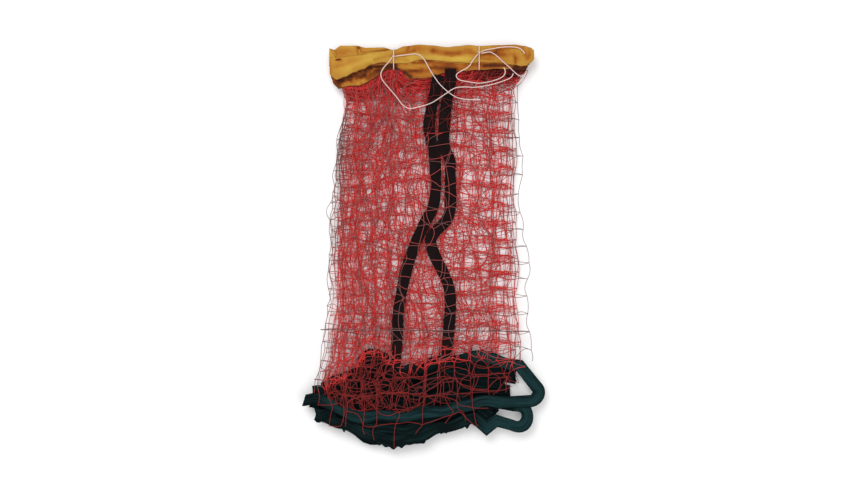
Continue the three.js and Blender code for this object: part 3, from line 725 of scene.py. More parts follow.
def band_height(number, x):
    """Middle height of a headband pass: the ties press the passes together."""
    nearest = np.minimum(np.abs(x - TIE_LEFT_X), np.abs(x - TIE_RIGHT_X))
    press = PINCH * np.clip(1 - nearest / PINCH_REACH, 0, 1)
    lift = FRONT_PASS_LIFT if number == BAND_PASSES - 1 else 0
    share = number / (BAND_PASSES - 1)
    return BAND_HALF_THICKNESS + number * BAND_RISE + lift + press * (1 - 2 * share)


def band_edges(number, x):
    """Upper and lower edges of a headband pass."""
    name = band_row(number)
    if name in BAND_EDGES:
        return tuple(read(BAND_EDGES[name], "x", edge, x) for edge in ("top", "low"))
    outline = np.maximum(*(read(edges, "x", "top", x) for edges in BAND_EDGES.values()))
    middle = read(BAND_LINES, "x", name, x)
    half = BAND_WIDTH * read(BAND_LINES, "x", "share", x) / 2
    return np.minimum(middle + half, outline - EDGE_INSET), middle - half


def band_skirt(x):
    """Lowest edge of all the headband's passes, and the height of the pass that it belongs to."""
    numbers = range(BAND_PASSES - len(UPPER_PASSES), BAND_PASSES)
    lows = np.stack([band_edges(number, x)[1] for number in numbers])
    heights = np.stack([band_height(number, x) for number in numbers])
    lowest = lows.argmin(0)[None]
    return np.take_along_axis(lows, lowest, 0)[0], np.take_along_axis(heights, lowest, 0)[0]


def fold_up(end, heading, rise, steps):
    """The half turn from the end of one pass up to the next."""
    angle = np.linspace(0, math.pi, steps + 2)[1:-1]
    x = end[0] + heading * np.sin(angle) * rise / 2
    z = end[2] + rise / 2 * (1 - np.cos(angle))
    return np.stack([x, np.full(steps, end[1]), z], axis=1)


def end_jog(turn):
    """How far a turn of the headband stays inside its ends: the last few turns are even."""
    return BAND_END_JOG * abs(math.sin(turn * BAND_JOG_BEAT)) * (turn <= BAND_PASSES - EVEN_TURNS)


def band_line():
    """The folded headband along its length: x, z, its upper and lower edges and its pass."""
    left, right = BAND_LINES["x"][0], BAND_LINES["x"][-1]
    parts = []
    for number in range(BAND_PASSES):
        heading = 1 if number % 2 == 0 else -1
        start, end = (left, right) if heading > 0 else (right, left)
        start += heading * end_jog(number)
        end -= heading * end_jog(number + 1)
        shows = number > BAND_PASSES - len(UPPER_PASSES)
        x = np.linspace(start, end, SHOWN_STEPS if shows else HIDDEN_STEPS)
        z = band_height(number, x)
        parts.append(np.stack([x, z, *band_edges(number, x), np.full_like(x, number)], axis=1))
        if number < BAND_PASSES - 1:
            rise = band_height(number + 1, end) - z[-1]
            turn = fold_up((end, 0, z[-1]), heading, rise, FOLD_STEPS)
            share = (np.arange(FOLD_STEPS) + 1) / (FOLD_STEPS + 1)
            here, after = (np.array(band_edges(one, end)) for one in (number, number + 1))
            edges = between(here, after, share[:, None])
            parts.append(np.column_stack([turn[:, 0], turn[:, 2], edges, number + share]))
    return np.vstack(parts).T


def draw_in_ends(x, y):
    """The headband's x with the lower corners of its ends moved inwards."""
    left, right = BAND_LINES["x"][0], BAND_LINES["x"][-1]
    near_left = 1 - ease((x - left) / BAND_INSET_REACH)
    near_right = ease((x - right) / BAND_INSET_REACH + 1)
    inwards = near_left * read(BAND_LEFT_INSET, "y", "inset", y)
    return x + inwards - near_right * read(BAND_RIGHT_INSET, "y", "inset", y)


def crease_height(creases, x, y):
    """Height of the listed soft ridges and troughs at each place."""
    height = np.zeros_like(x)
    for x0, y0, x1, y1, top, width in zip(*creases.values()):
        run = np.array([x1 - x0, y1 - y0])
        share = np.clip(((x - x0) * run[0] + (y - y0) * run[1]) / (run @ run), 0, 1)
        away = np.hypot(x - x0 - share * run[0], y - y0 - share * run[1])
        height += top * np.exp(-((away / width) ** 2))
    return height


def stain_and_shade_share(stains_and_shade, x, y):
    """How much browner the cotton is painted at each place, by listed spots of dirt and of painted shade.
    """
    share = np.zeros_like(x)
    for middle_x, middle_y, along, across, soil in zip(*stains_and_shade.values()):
        share += soil * np.exp(-((x - middle_x) / along) ** 2 - ((y - middle_y) / across) ** 2)
    return share


def bottom_passes():
    """Centre line of each pass of the bottom tape, and of the turn that follows it."""
    start = dict(BOTTOM_START)
    passes = []
    turns = []
    for number, (early, middle, late, leave, reach) in enumerate(zip(*BOTTOM_ROWS.values())):
        heading = 1 if number % 2 == 0 else -1
        height = BOTTOM_HALF_THICKNESS + number * BOTTOM_RISE
        shares = table(
            "at share", (0, start["share"]), (0.25, early), (0.5, middle), (0.75, late), (1, leave))
        at = np.linspace(0, 1, SHOWN_STEPS if number >= LOWEST_SHOWN_PASS else HIDDEN_STEPS)
        x = between(start["x"], reach, at)
        upper = read(BUNCH, "x", "upper", x)
        lower = read(BUNCH, "x", "lower", x)
        y = between(upper, lower, read(shares, "at", "share", at))
        loop = BOTTOM_LOOPS.get(number)
        line = np.stack([x, y, np.full_like(x, height)], axis=1)
        passes.append(clear_corners(line, number - 1 in BOTTOM_LOOPS, loop is not None))
        start = {"x": reach, "share": leave}
        if loop:
            turns.append(flat_turn(loop, height))
            start = loop["next"]
        elif number < len(BOTTOM_ROWS["reach"]) - 1:
            turns.append(fold_up(passes[-1][-1], heading, BOTTOM_RISE, FOLD_STEPS))
    return passes, turns


def clear_corners(line, first, last):
    """The same line without the points close to a corner at its first or last point."""
    away = distance_along(line)
    near_first = first & (away < CORNER_ROOM) & (away > 0)
    near_last = last & (away > away[-1] - CORNER_ROOM) & (away < away[-1])
    return line[~near_first & ~near_last]


def flat_turn(loop, height):
    """A turn of the bottom tape that lies flat, drooping at its tip as it leaves the pile."""
    share = np.linspace(0, 1, LOOP_STEPS)
    angle = np.radians(between(loop["from"], loop["to"], share))
    z = height + BOTTOM_RISE * share - loop["droop"] * np.sin(math.pi * share)
    x = loop["x"] + loop["radius"] * np.cos(angle)
    arc = np.stack([x, loop["y"] + loop["radius"] * np.sin(angle), z], axis=1)
    corners = [(x, y, height + BOTTOM_RISE) for x, y in loop["corners"]]
    return np.vstack([arc, *corners])


def front_run(x):
    """Middle of the bottom tape's last pass, which lies along the front of the heap."""
    middle = bottom_passes()[0][-1][::-1]
    return np.interp(x, middle[:, 0], middle[:, 1])


class NetLayer:
    """One layer of the folded netting: where each of its meshes lies."""

    # How its meshes are shifted against those of the other layers, in meshes, and crowded to the left.
    SHIFT_ACROSS = 0.36
    SHIFT_DOWN = 0.30
    FIRST_ROW = 0.5
    LEAN = 0.07
    LEAN_SPREAD = 0.02
    LEAN_BEND = 0.8
    # How far its twines stray with all layers, on their own and along the folds. The waves of each, and
    # those over the heap, are a count with their shortest and longest lengths.
    COMMON_DRIFT = 0.006
    OWN_DRIFT = 0.0095
    EDGE_DRIFT = 0.0025
    COMMON_WAVES = (5, 0.12, 0.4)
    OWN_WAVES = (6, 0.05, 0.2)
    TANGLE_WAVES = (6, 0.026, 0.075)
    EDGE_WAVES = (5, 0.06, 0.2)
    EDGE_SEED = 100
    DRIFT_WIDTH = 0.36
    # How fast a drift and a shift set in away from the folds.
    DRIFT_RISE = 2.2
    SHIFT_RISE = 3
    # The pull of neighbouring twines towards each other, in the open and over the heap.
    CLUMP = 0.0016
    CLUMP_MEAN = 0.65
    CLUMP_CHANGE = 0.35
    CLUMP_LEAST = 0.2
    CLUMP_BEND = 1.3
    CLUMP_PITCH = 0.0305
    HEAP_CLUMP = 1.75
    # The head, which is drawn sideways to the ties and tucked under the headband.
    TIE_DRAW = 0.45
    TIE_REACH = 0.030
    TUCK = 0.0015
    TUCK_DEPTH = 0.0024
    EDGE_RAMP = 0.004
    BAND_RAMP = 0.028
    BAND_ROOM = 0.0008
    BAND_STEP = 0.0001
    SETTLE = 0.07
    # Heights in the pile: its lowest layer, the room for the side tapes and the layers that cover them.
    LOWEST = 0.0008
    TAPE_ROOM = 0.0048
    TOP_ROOM = 0.0008
    COVER_STEP = 0.00078
    FLOOR_ROOM = 0.0011
    # The lower end, which is hidden behind the heap or drawn over it.
    HEAP_START = 0.008
    HEAP_RAMP = 0.06
    HEAP_LEAD = 0.8
    HEAP_SIDE_RAMP = 0.05
    HEAP_HIDDEN = 0.012
    HEAP_TUCK = 0.006
    HEAP_TUCK_RAMP = 0.016
    HEAP_STEP = 0.0002
    FRONT_RAMP = 0.02

    def __init__(self, number, rng, sizes, common, fold_shifts):
        self.number = number
        self.last = number == NET_LAYERS - 1
        self.covers = number >= NET_LAYERS - COVER_LAYERS
        self.columns = sizes.columns
        self.rows = sizes.rows
        self.column_shift = rng.normal(0, self.SHIFT_ACROSS)
        self.sag = rng.normal(0, self.SHIFT_DOWN)
        self.fold_shifts = [fold_shifts[fold] for fold in self.folds()]
        self.lean = rng.normal(self.LEAN, self.LEAN_SPREAD)
        self.common = common
        self.own = [ripples(rng, *self.OWN_WAVES) for axis in range(2)]
        self.tangle = [ripples(rng, *self.TANGLE_WAVES) for axis in range(2)]
        fold_rngs = [np.random.default_rng(self.EDGE_SEED + fold) for fold in self.folds()]
        self.edges = [ripples(fold_rng, *self.EDGE_WAVES) for fold_rng in fold_rngs]

    def folds(self):
        """Numbers of the folds at the left and the right of the layer."""
        before, after = max(self.number - 1, 0), self.number
        return (before, after) if self.number % 2 == 0 else (after, before)

    def limits(self, y):
        """Left and right ends of the layer at each height."""
        insets = [FOLD_INSETS[fold] for fold in self.folds()]
        wave_left, wave_right = (self.EDGE_DRIFT * ripple_at(edge, y, y * 0) for edge in self.edges)
        left = read(NET_OUTLINE, "y", "left", y) + insets[0] * read(NET_OUTLINE, "y", "left_inset", y)
        right = read(NET_OUTLINE, "y", "right", y) - insets[1] * read(NET_OUTLINE, "y", "right_inset", y)
        return left + wave_left, right + wave_right

    def height(self, y, skirt_height, near_band, near_heap, run_edge):
        """Height of the layer above the surface."""
        top = read(NET_TOP, "y", "z", y)
        if self.covers:
            middle = top - self.TOP_ROOM - self.COVER_STEP * (NET_LAYERS - 1 - self.number)
        else:
            share = self.number / (NET_LAYERS - COVER_LAYERS - 1)
            middle = between(self.LOWEST, top - self.TAPE_ROOM, share)
        below_skirt = skirt_height - self.BAND_ROOM - self.BAND_STEP * (NET_LAYERS - self.number)
        z = between(middle, np.minimum(middle, below_skirt), near_band)
        z = between(z, self.heap_height(y, run_edge), near_heap)
        return np.maximum(z, self.FLOOR_ROOM)

    def heap_height(self, y, run_edge):
        """Height of the layer at the heap: behind it, on it and under its front run, or over its front."""
        if self.number not in HEAP_LAYERS:
            return BOTTOM_HALF_THICKNESS + BOTTOM_RISE * self.number
        over = HEAP_TOP + self.HEAP_STEP * (self.number - min(HEAP_LAYERS))
        if self.last:
            return over - HEAP_FRONT_FALL * ease((HEAP_FRONT_Y - y) / self.FRONT_RAMP)
        return between(over, HEAP_TUCK_TOP, ease((run_edge - y) / self.HEAP_TUCK_RAMP + 1))

    def lower_end(self, x, heap_edge, run_edge):
        """Where the layer ends: tucked in behind the heap of bottom tape, or drawn over it."""
        if self.number not in HEAP_LAYERS:
            return heap_edge - self.HEAP_HIDDEN
        front_end = read(NET_FRONT_END, "x", "y", x)
        if self.last:
            return front_end
        reach = 1 - ease((x - HEAP_LAYERS[self.number]["until"]) / self.HEAP_SIDE_RAMP)
        return np.maximum(between(heap_edge, run_edge - self.HEAP_TUCK, reach), front_end)

    def clump(self, x, y):
        """Pull of neighbouring twines towards each other, which leaves open pockets between bars."""
        share = self.CLUMP_MEAN + self.CLUMP_CHANGE * ripple_at(self.common[2], x, y)
        strength = self.CLUMP * np.clip(share, self.CLUMP_LEAST, 1)
        turns = [2 * math.pi * value / self.CLUMP_PITCH for value in (x, y)]
        bends = [self.CLUMP_BEND * ripple_at(waves, x, y) for waves in self.common[3:5]]
        return [-strength * np.sin(turn + bend) for turn, bend in zip(turns, bends)]

    def draw_to_ties(self, x, drop):
        """How far the twines near the head are drawn sideways to the ties."""
        draw = np.zeros_like(x)
        for tie in (TIE_LEFT_X, TIE_RIGHT_X):
            away = x - tie
            draw -= self.TIE_DRAW * away * np.exp(-((away / self.TIE_REACH) ** 2))
        return draw * (1 - ease(drop / self.SETTLE))

    def place(self, across, down):
        """Points of the layer, and which of them lie above its lower end.

        Across runs from 0 at the left to 1 at the right, and down is counted in meshes.
        """
        across, down = np.broadcast_arrays(np.asarray(across, float), np.asarray(down, float))
        drop = down * NET_SQUARE
        left, right = self.limits(np.maximum(NET_HEAD_Y - drop, NET_OUTLINE["y"][0]))
        inside = np.clip(across, 0, 1)
        crowded = across - self.lean * np.sin(math.pi * inside**self.LEAN_BEND) ** 2
        x = between(left, right, crowded)
        x += self.draw_to_ties(x, drop)
        skirt, skirt_height = band_skirt(x)
        head = skirt + self.TUCK
        heap_edge = read(BUNCH, "x", "upper", x) + self.HEAP_START
        y = NET_MEAN_HEAD - drop + (head - NET_MEAN_HEAD) * np.exp(-drop / self.SETTLE)
        run_edge = front_run(x) + BOTTOM_HALF_WIDTH
        keep = y > self.lower_end(x, heap_edge, run_edge)
        near_heap = ease((heap_edge - y) / self.HEAP_RAMP + self.HEAP_LEAD)
        loose = ease(down)
        free = loose * self.slack(inside, self.DRIFT_RISE)
        stray = HEAP_LAYERS.get(self.number, {"tangle": 0.0})["tangle"] * near_heap
        spread = across * self.DRIFT_WIDTH
        for axis, value in ((0, x), (1, y)):
            value += loose * self.COMMON_DRIFT * ripple_at(self.common[axis], spread, drop)
            value += free * self.OWN_DRIFT * ripple_at(self.own[axis], spread, drop)
            value += stray * ripple_at(self.tangle[axis], spread, drop)
        pulled = loose * self.slack(inside, self.SHIFT_RISE) * (1 + self.HEAP_CLUMP * near_heap)
        pull_x, pull_y = self.clump(x, y)
        x += pulled * pull_x
        y += pulled * pull_y
        near_band = ease((y - head) / self.BAND_RAMP + 1)
        under_band = ease((y - head) / self.EDGE_RAMP + 1)
        z = self.height(y, skirt_height - self.TUCK_DEPTH * under_band, near_band, near_heap, run_edge)
        return np.stack([x, y, z], axis=-1), keep

    def slack(self, across, rise):
        """Share of a shift that applies: none at the folds, and all of it well inside them."""
        return np.minimum(rise * np.sin(math.pi * across), 1)

    def column_places(self):
        """Where the twines that run down lie across the layer: one on each fold, for both its layers."""
        place = np.arange(self.columns + 1) / self.columns
        place += self.column_shift * self.slack(place, self.SHIFT_RISE) / self.columns
        if self.last:
            return place
        return place[:-1] if self.number % 2 == 0 else place[1:]

    def row_start(self, across):
        """How far down the first row lies: the same on both sides of a fold, sagging between."""
        left, right = self.fold_shifts
        slant = left + (right - left) * across
        return self.FIRST_ROW + slant + self.sag * np.sin(math.pi * across)


def kept_runs(keep):
    """Stretches of a line that are kept, as slices."""
    edges = np.flatnonzero(np.diff(np.concatenate([[0], keep.astype(int), [0]])))
    runs = zip(edges[::2], edges[1::2])
    return [slice(start, end) for start, end in runs if end - start > SHORTEST_RUN]


def twine_tint(line, base, covers):
    """Tint along a twine: soiled at the outer folds, and deep red as painted shade under the headband,
    over the heap and over the side tapes' heads.
    """
    x, y = line[:, 0], line[:, 1]
    left = x - read(NET_OUTLINE, "y", "left", y)
    right = read(NET_OUTLINE, "y", "right", y) - x
    outer = np.clip(SOIL_START - np.minimum(left, right) / SOIL_REACH, 0, 1)
    clean = np.where(left < right, CLEAN_HEAD["left"], CLEAN_HEAD["right"])
    clean = clean * ease((y - CLEAN_HEAD["y"]) / CLEAN_HEAD["ramp"])
    shaded = ease((x - HEAD_SHADE["x"]) / HEAD_SHADE["x_ramp"])
    shaded = shaded * ease((y - HEAD_SHADE["y"]) / HEAD_SHADE["y_ramp"])
    over_heap = ease((read(BUNCH, "x", "upper", x) - y) / HEAP_TINT["ramp"] + HEAP_TINT["lead"])
    over_tapes = ease((TAPE_HEADS["reach"] - np.abs(x - TAPE_HEADS["x"])) / TAPE_HEADS["ramp"])
    over_tapes = over_tapes * ease((y - TAPE_HEADS["y"]) / TAPE_HEADS["ramp"]) * covers
    tint = base + SOIL_SHARE * outer * (1 - clean)
    # Painted shade: deep red under the headband's right half, over the heap and over the side tapes' heads.
    tint = between(tint, HEAD_SHADE["tint"], shaded)
    tint = between(tint, HEAP_TINT["kept"] * base + HEAP_TINT["tint"], over_heap)
    return np.clip(between(tint, TAPE_HEADS["tint"], over_tapes), -1, 1)


def new_material(name):
    """An empty cloth material: its node tree and its shader."""
    material = bpy.data.materials.new(name)
    material.use_nodes = True
    return material, material.node_tree, material.node_tree.nodes["Principled BSDF"]


def plug(tree, socket, value):
    """Links a socket to another one, or sets its value."""
    if isinstance(value, bpy.types.NodeSocket):
        tree.links.new(value, socket)
    else:
        socket.default_value = value


def node(tree, kind, sockets=None, **settings):
    """A node with its settings, and its sockets set or linked."""
    new = tree.nodes.new(kind)
    for name, value in settings.items():
        setattr(new, name, value)
    for name, value in (sockets or {}).items():
        plug(tree, new.inputs[name], value)
    return new


def maths(tree, operation, first, second=0.0):
    """The result of one sum."""
    return node(tree, "ShaderNodeMath", {0: first, 1: second}, operation=operation).outputs[0]


def blend(tree, share, first, second):
    """A colour between two colours."""
    mix = node(tree, "ShaderNodeMix", {"Factor": share}, data_type="RGBA")
    ends = [socket for socket in mix.inputs if socket.type == "RGBA"]
    for socket, value in zip(ends, (first, second)):
        plug(tree, socket, value if isinstance(value, bpy.types.NodeSocket) else (*value, 1.0))
    return next(socket for socket in mix.outputs if socket.type == "RGBA")


def ramp(tree, value, start, end, first=0.0, last=1.0):
    """A number that goes from the first to the last while the value goes from start to end."""
    sockets = {0: value, 1: start, 2: end, 3: first, 4: last}
    return node(tree, "ShaderNodeMapRange", sockets).outputs[0]


def group(name, inputs, outputs):
    """A new shader node group with named sockets."""
    tree = bpy.data.node_groups.new(name, "ShaderNodeTree")
    for socket, kind in inputs.items():
        tree.interface.new_socket(socket, in_out="INPUT", socket_type=kind)
    for socket, kind in outputs.items():
        tree.interface.new_socket(socket, in_out="OUTPUT", socket_type=kind)
    return tree, tree.nodes.new("NodeGroupInput").outputs, tree.nodes.new("NodeGroupOutput").inputs


def weave_group():
    """Threads that pass over and under each other, from a position on the cloth in metres."""
    number = "NodeSocketFloat"
    tree, given, result = group(
        "Weave", {"Place": "NodeSocketVector", "Along": number, "Across": number}, {"Height": number})
    place = node(tree, "ShaderNodeSeparateXYZ", {0: given["Place"]}).outputs
    waves = []
    for axis, count in ((0, "Along"), (1, "Across")):
        turns = maths(tree, "MULTIPLY", place[axis], given[count])
        waves.append(maths(tree, "SINE", maths(tree, "MULTIPLY", turns, math.pi)))
    over = maths(tree, "MULTIPLY", waves[0], waves[1])
    tree.links.new(maths(tree, "ADD", maths(tree, "MULTIPLY", over, 0.5), 0.5), result["Height"])
    return tree


def mottle_group():
    """Soft patches of more and less, from 0 to 1, as on cloth that has been used."""
    tree, given, result = group(
        "Mottle", {"Place": "NodeSocketVector", "Size": "NodeSocketFloat"}, {"Share": "NodeSocketFloat"})
    scale = maths(tree, "DIVIDE", 1.0, given["Size"])
    noise = node(tree, "ShaderNodeTexNoise", {
        "Vector": given["Place"], "Scale": scale, "Detail": 3.0, "Roughness": 0.6})
    tree.links.new(ramp(tree, noise.outputs["Fac"], *MOTTLE_RANGE), result["Share"])
    return tree


def use_group(tree, name, **sockets):
    """A placed node group, with its sockets set or linked."""
    return node(tree, "ShaderNodeGroup", sockets, node_tree=bpy.data.node_groups[name]).outputs[0]


def add_bump(tree, shader, height, distance, strength=1.0):
    """Relief on the surface."""
    bump = node(tree, "ShaderNodeBump", {"Height": height, "Distance": distance, "Strength": strength})
    tree.links.new(bump.outputs[0], shader.inputs["Normal"])


def surface_places(tree):
    """Object coordinates, the cloth's own coordinates, and how worn and shaded it is painted."""
    where = node(tree, "ShaderNodeTexCoord").outputs
    wear_and_shade = node(tree, "ShaderNodeAttribute", attribute_name="wear_and_shade").outputs["Fac"]
    return where["Object"], where["UV"], wear_and_shade


def matt(shader, roughness, specular):
    """Cloth that hardly shines."""
    shader.inputs["Roughness"].default_value = roughness
    shader.inputs["Specular IOR Level"].default_value = specular


def band_material(colours):
    """Mustard cotton: plain weave with a pale selvedge, browner where it is worn and where shade is
    painted, and darkest where the most shade is painted.
    """
    material, tree, shader = new_material("band_cotton")
    place, flat, wear_and_shade = surface_places(tree)
    patches = use_group(tree, "Mottle", Place=place, Size=BAND_FINISH["patch"])
    # Browner with the cloth's wear and its painted shade.
    soil = maths(tree, "ADD", wear_and_shade, maths(tree, "MULTIPLY", patches, BAND_FINISH["patch_soil"]))
    colour = blend(tree, soil, colours.band, colours.band_shade)
    across = node(tree, "ShaderNodeSeparateXYZ", {0: flat}).outputs[1]
    inward = maths(tree, "MINIMUM", across, maths(tree, "SUBTRACT", 2 * BAND_WIDTH, across))
    selvedge = ramp(tree, inward, SELVEDGE["full"], SELVEDGE["none"], SELVEDGE["share"], 0.0)
    colour = blend(tree, selvedge, colour, colours.band_edge)
    # Painted shade: the darkest places turn deep brown.
    colour = blend(tree, ramp(tree, soil, *DEEPEST_SHADE_RANGE), colour, colours.band_deepest_shade)
    tree.links.new(colour, shader.inputs["Base Color"])
    threads = BAND_FINISH["threads"]
    weave = use_group(tree, "Weave", Place=flat, Along=threads, Across=threads)
    add_bump(tree, shader, weave, BAND_FINISH["relief"])
    matt(shader, roughness=0.9, specular=0.1)
    return material


def tape_material(name, dark, light, threads):
    """Ribbed dark tape. Its worn edges on the side tapes and its painted light on the bottom tape are
    paler, and streaks of painted highlight and shade run along its length.
    """
    material, tree, shader = new_material(name)
    place, flat, wear_and_shade = surface_places(tree)
    # Streaks along the length: painted highlights and shade of lengthwise creases; the patches are random.
    drawn_out = node(tree, "ShaderNodeVectorMath", {0: flat, 1: STREAK_SCALE}, operation="MULTIPLY")
    streaks = use_group(tree, "Mottle", Place=drawn_out.outputs[0], Size=TAPE_FINISH["streak"])
    patches = use_group(tree, "Mottle", Place=place, Size=TAPE_FINISH["patch"])
    patches = maths(tree, "MULTIPLY", patches, TAPE_FINISH["patch_share"])
    streaks = maths(tree, "MULTIPLY", streaks, TAPE_FINISH["streak_share"])
    uneven = maths(tree, "SUBTRACT", maths(tree, "ADD", patches, streaks), TAPE_FINISH["clean"])
    share = maths(tree, "ADD", wear_and_shade, uneven)
    tree.links.new(blend(tree, share, dark, light), shader.inputs["Base Color"])
    weave = use_group(tree, "Weave", Place=flat, Along=threads / 2, Across=threads)
    add_bump(tree, shader, weave, TAPE_RELIEF)
    matt(shader, roughness=0.75, specular=0.03)
    return material


def strand_material(name, fresh, old, deep, plies):
    """Twisted twine or thread of two plies: old where its tint is above 0, and deep red as painted shade
    where it is below.
    """
    material, tree, shader = new_material(name)
    where = node(tree, "ShaderNodeTexCoord").outputs
    tint = node(tree, "ShaderNodeAttribute", attribute_name="tint").outputs["Fac"]
    patches = use_group(tree, "Mottle", Place=where["Object"], Size=STRAND_FINISH["patch"])
    soil = maths(tree, "ADD", tint, maths(tree, "MULTIPLY", patches, STRAND_FINISH["patch_soil"]))
    colour = blend(tree, soil, fresh, old)
    # Painted shade: below 0 the twine turns deep red.
    depth = maths(tree, "MULTIPLY", tint, -1.0)
    tree.links.new(blend(tree, depth, colour, deep), shader.inputs["Base Color"])
    run = node(tree, "ShaderNodeSeparateXYZ", {0: where["UV"]}).outputs
    turn = maths(tree, "ADD", maths(tree, "MULTIPLY", run[0], plies), run[1])
    ply = maths(tree, "SINE", maths(tree, "MULTIPLY", turn, 4 * math.pi))
    add_bump(tree, shader, ply, STRAND_FINISH["relief"], STRAND_FINISH["strength"])
    matt(shader, roughness=0.75, specular=0.25)
    return material


def finish_piece(piece, slot, *nodes):
    """Sets a piece on the net in place of its solids. Its slot is not used."""
    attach(piece, BODY)
    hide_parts(*nodes)


class NET_OT_stage(bpy.types.Operator):
    """Set up the camera above the net, a pale floor and soft studio light"""

    bl_idname = "net.stage"
    bl_label = "Stage"

    def execute(self, context):
        scene = context.scene
        scene.view_settings.view_transform = "Standard"
        distance = PHOTO_PIXEL * PHOTO_WIDTH_PX * CAMERA_LENS_MM / CAMERA_SENSOR_MM
        lens = bpy.data.cameras.new("photo_camera")
        lens.lens = CAMERA_LENS_MM
        lens.sensor_width = CAMERA_SENSOR_MM
        camera = bpy.data.objects.new("photo_camera", lens)
        camera.location = (*PHOTO_MIDDLE, distance + NET_MEAN_HEIGHT)
        scene.collection.objects.link(camera)
        scene.camera = camera
        self.add_floor(scene)
        for name, light in LIGHTS.items():
            self.add_light(scene, name, **light)
        world = bpy.data.worlds.new("studio")
        world.use_nodes = True
        background = world.node_tree.nodes["Background"].inputs
        background["Color"].default_value = (1, 1, 1, 1)
        background["Strength"].default_value = SURROUNDINGS
        scene.world = world
        return {"FINISHED"}

    def add_floor(self, scene):
        sheet = bmesh.new()
        bmesh.ops.create_grid(sheet, x_segments=1, y_segments=1, size=FLOOR_REACH)
        mesh = bpy.data.meshes.new("floor")
        sheet.to_mesh(mesh)
        sheet.free()
        material, tree, shader = new_material("studio_floor")
        place = node(tree, "ShaderNodeTexCoord").outputs["Object"]
        patches = use_group(tree, "Mottle", Place=place, Size=FLOOR_PATCH)
        pale = scene.net_colours.floor
        shade = tuple(FLOOR_SHADE * value for value in pale)
        tree.links.new(blend(tree, patches, pale, shade), shader.inputs["Base Color"])
        shader.inputs["Roughness"].default_value = 0.9
        link("floor", mesh, material)

    def add_light(self, scene, name, place, size, power):
        light = bpy.data.lights.new(name, "AREA")
        light.size = size
        light.energy = power
        lamp = bpy.data.objects.new(name, light)
        lamp.location = place
        lamp.rotation_euler = (-lamp.location).to_track_quat("-Z", "Y").to_euler()
        scene.collection.objects.link(lamp)


class NET_OT_ties(bpy.types.Operator):
    """Make the thread ties: their loose ends, the turns round the headband and the knots"""

    bl_idname = "net.ties"
    bl_label = "Thread ties"

    STEP = 0.0011
    SIDES = 10
    LAY = 150
    KNOT_GAP = 0.0018
    WRAP_CORNER = 0.003
    # The knots: their points and sides, their radius as a share of the thread's diameter, and their form.
    KNOT_STEPS = 72
    KNOT_SIDES = 8
    KNOT_THREAD = 0.42
    KNOT_TINT = 0.1
    KNOT_SIZE = 0.00078
    KNOT_LOOP = 1.5
    KNOT_RISE = 1.1

    def execute(self, context):
        thread = context.scene.net_sizes.thread
        colours = context.scene.net_colours
        old = colours.thread_old
        material = strand_material("tie_cotton", colours.thread, old, old, THREAD_PLIES)
        for name, route in THREAD_ENDS.items():
            line = smooth_route(route, self.STEP)
            piece = self.add_thread(name, line, thread, material)
        for name, centre in KNOTS.items():
            knot = Tubes()
            radius = thread * self.KNOT_THREAD
            knot.add_line(self.knot_line(centre), radius, self.KNOT_SIDES, self.KNOT_TINT)
            finish_piece(knot.build(name + "_thread", material), "tie_thread", name)
            wrap = name.replace("knot", "wrap")
            self.add_thread(wrap, self.wrap_line(wrap, centre, thread), thread, material)
        return {"FINISHED"}

    def add_thread(self, name, line, thread, material):
        """A length of laid-up thread in the place of its solid."""
        tubes = Tubes()
        tubes.add_line(line, thread / 2, self.SIDES, 0.0, turns=self.LAY)
        piece = tubes.build(name + "_thread", material)
        finish_piece(piece, "tie_thread", name)
        return piece

    def knot_line(self, centre):
        """An overhand knot drawn tight."""
        turn = np.linspace(0, 2 * math.pi, self.KNOT_STEPS)
        x = np.sin(turn) + self.KNOT_LOOP * np.sin(2 * turn)
        y = np.cos(turn) - self.KNOT_LOOP * np.cos(2 * turn)
        z = -self.KNOT_RISE * np.sin(3 * turn)
        return np.array(centre) + self.KNOT_SIZE * np.stack([x, y, z], axis=1)

    def wrap_line(self, wrap, centre, thread):
        """The thread from its knot round the headband and back to the knot."""
        low, high = (np.array(corner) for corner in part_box(wrap))
        half = thread / 2
        bottom, top = low[2] + half, high[2] - half
        near, far = low[1] + half, high[1] - half
        cut = self.WRAP_CORNER
        corners = [
            (centre[1] + self.KNOT_GAP, top), (far - cut, top), (far, top - cut), (far, bottom + cut),
            (far - cut, bottom), (near + cut, bottom), (near, bottom + cut), (near, top - cut),
            (near + cut, top), (centre[1] - self.KNOT_GAP, top),
        ]
        return even_steps(np.array([(centre[0], y, z) for y, z in corners]), self.STEP)


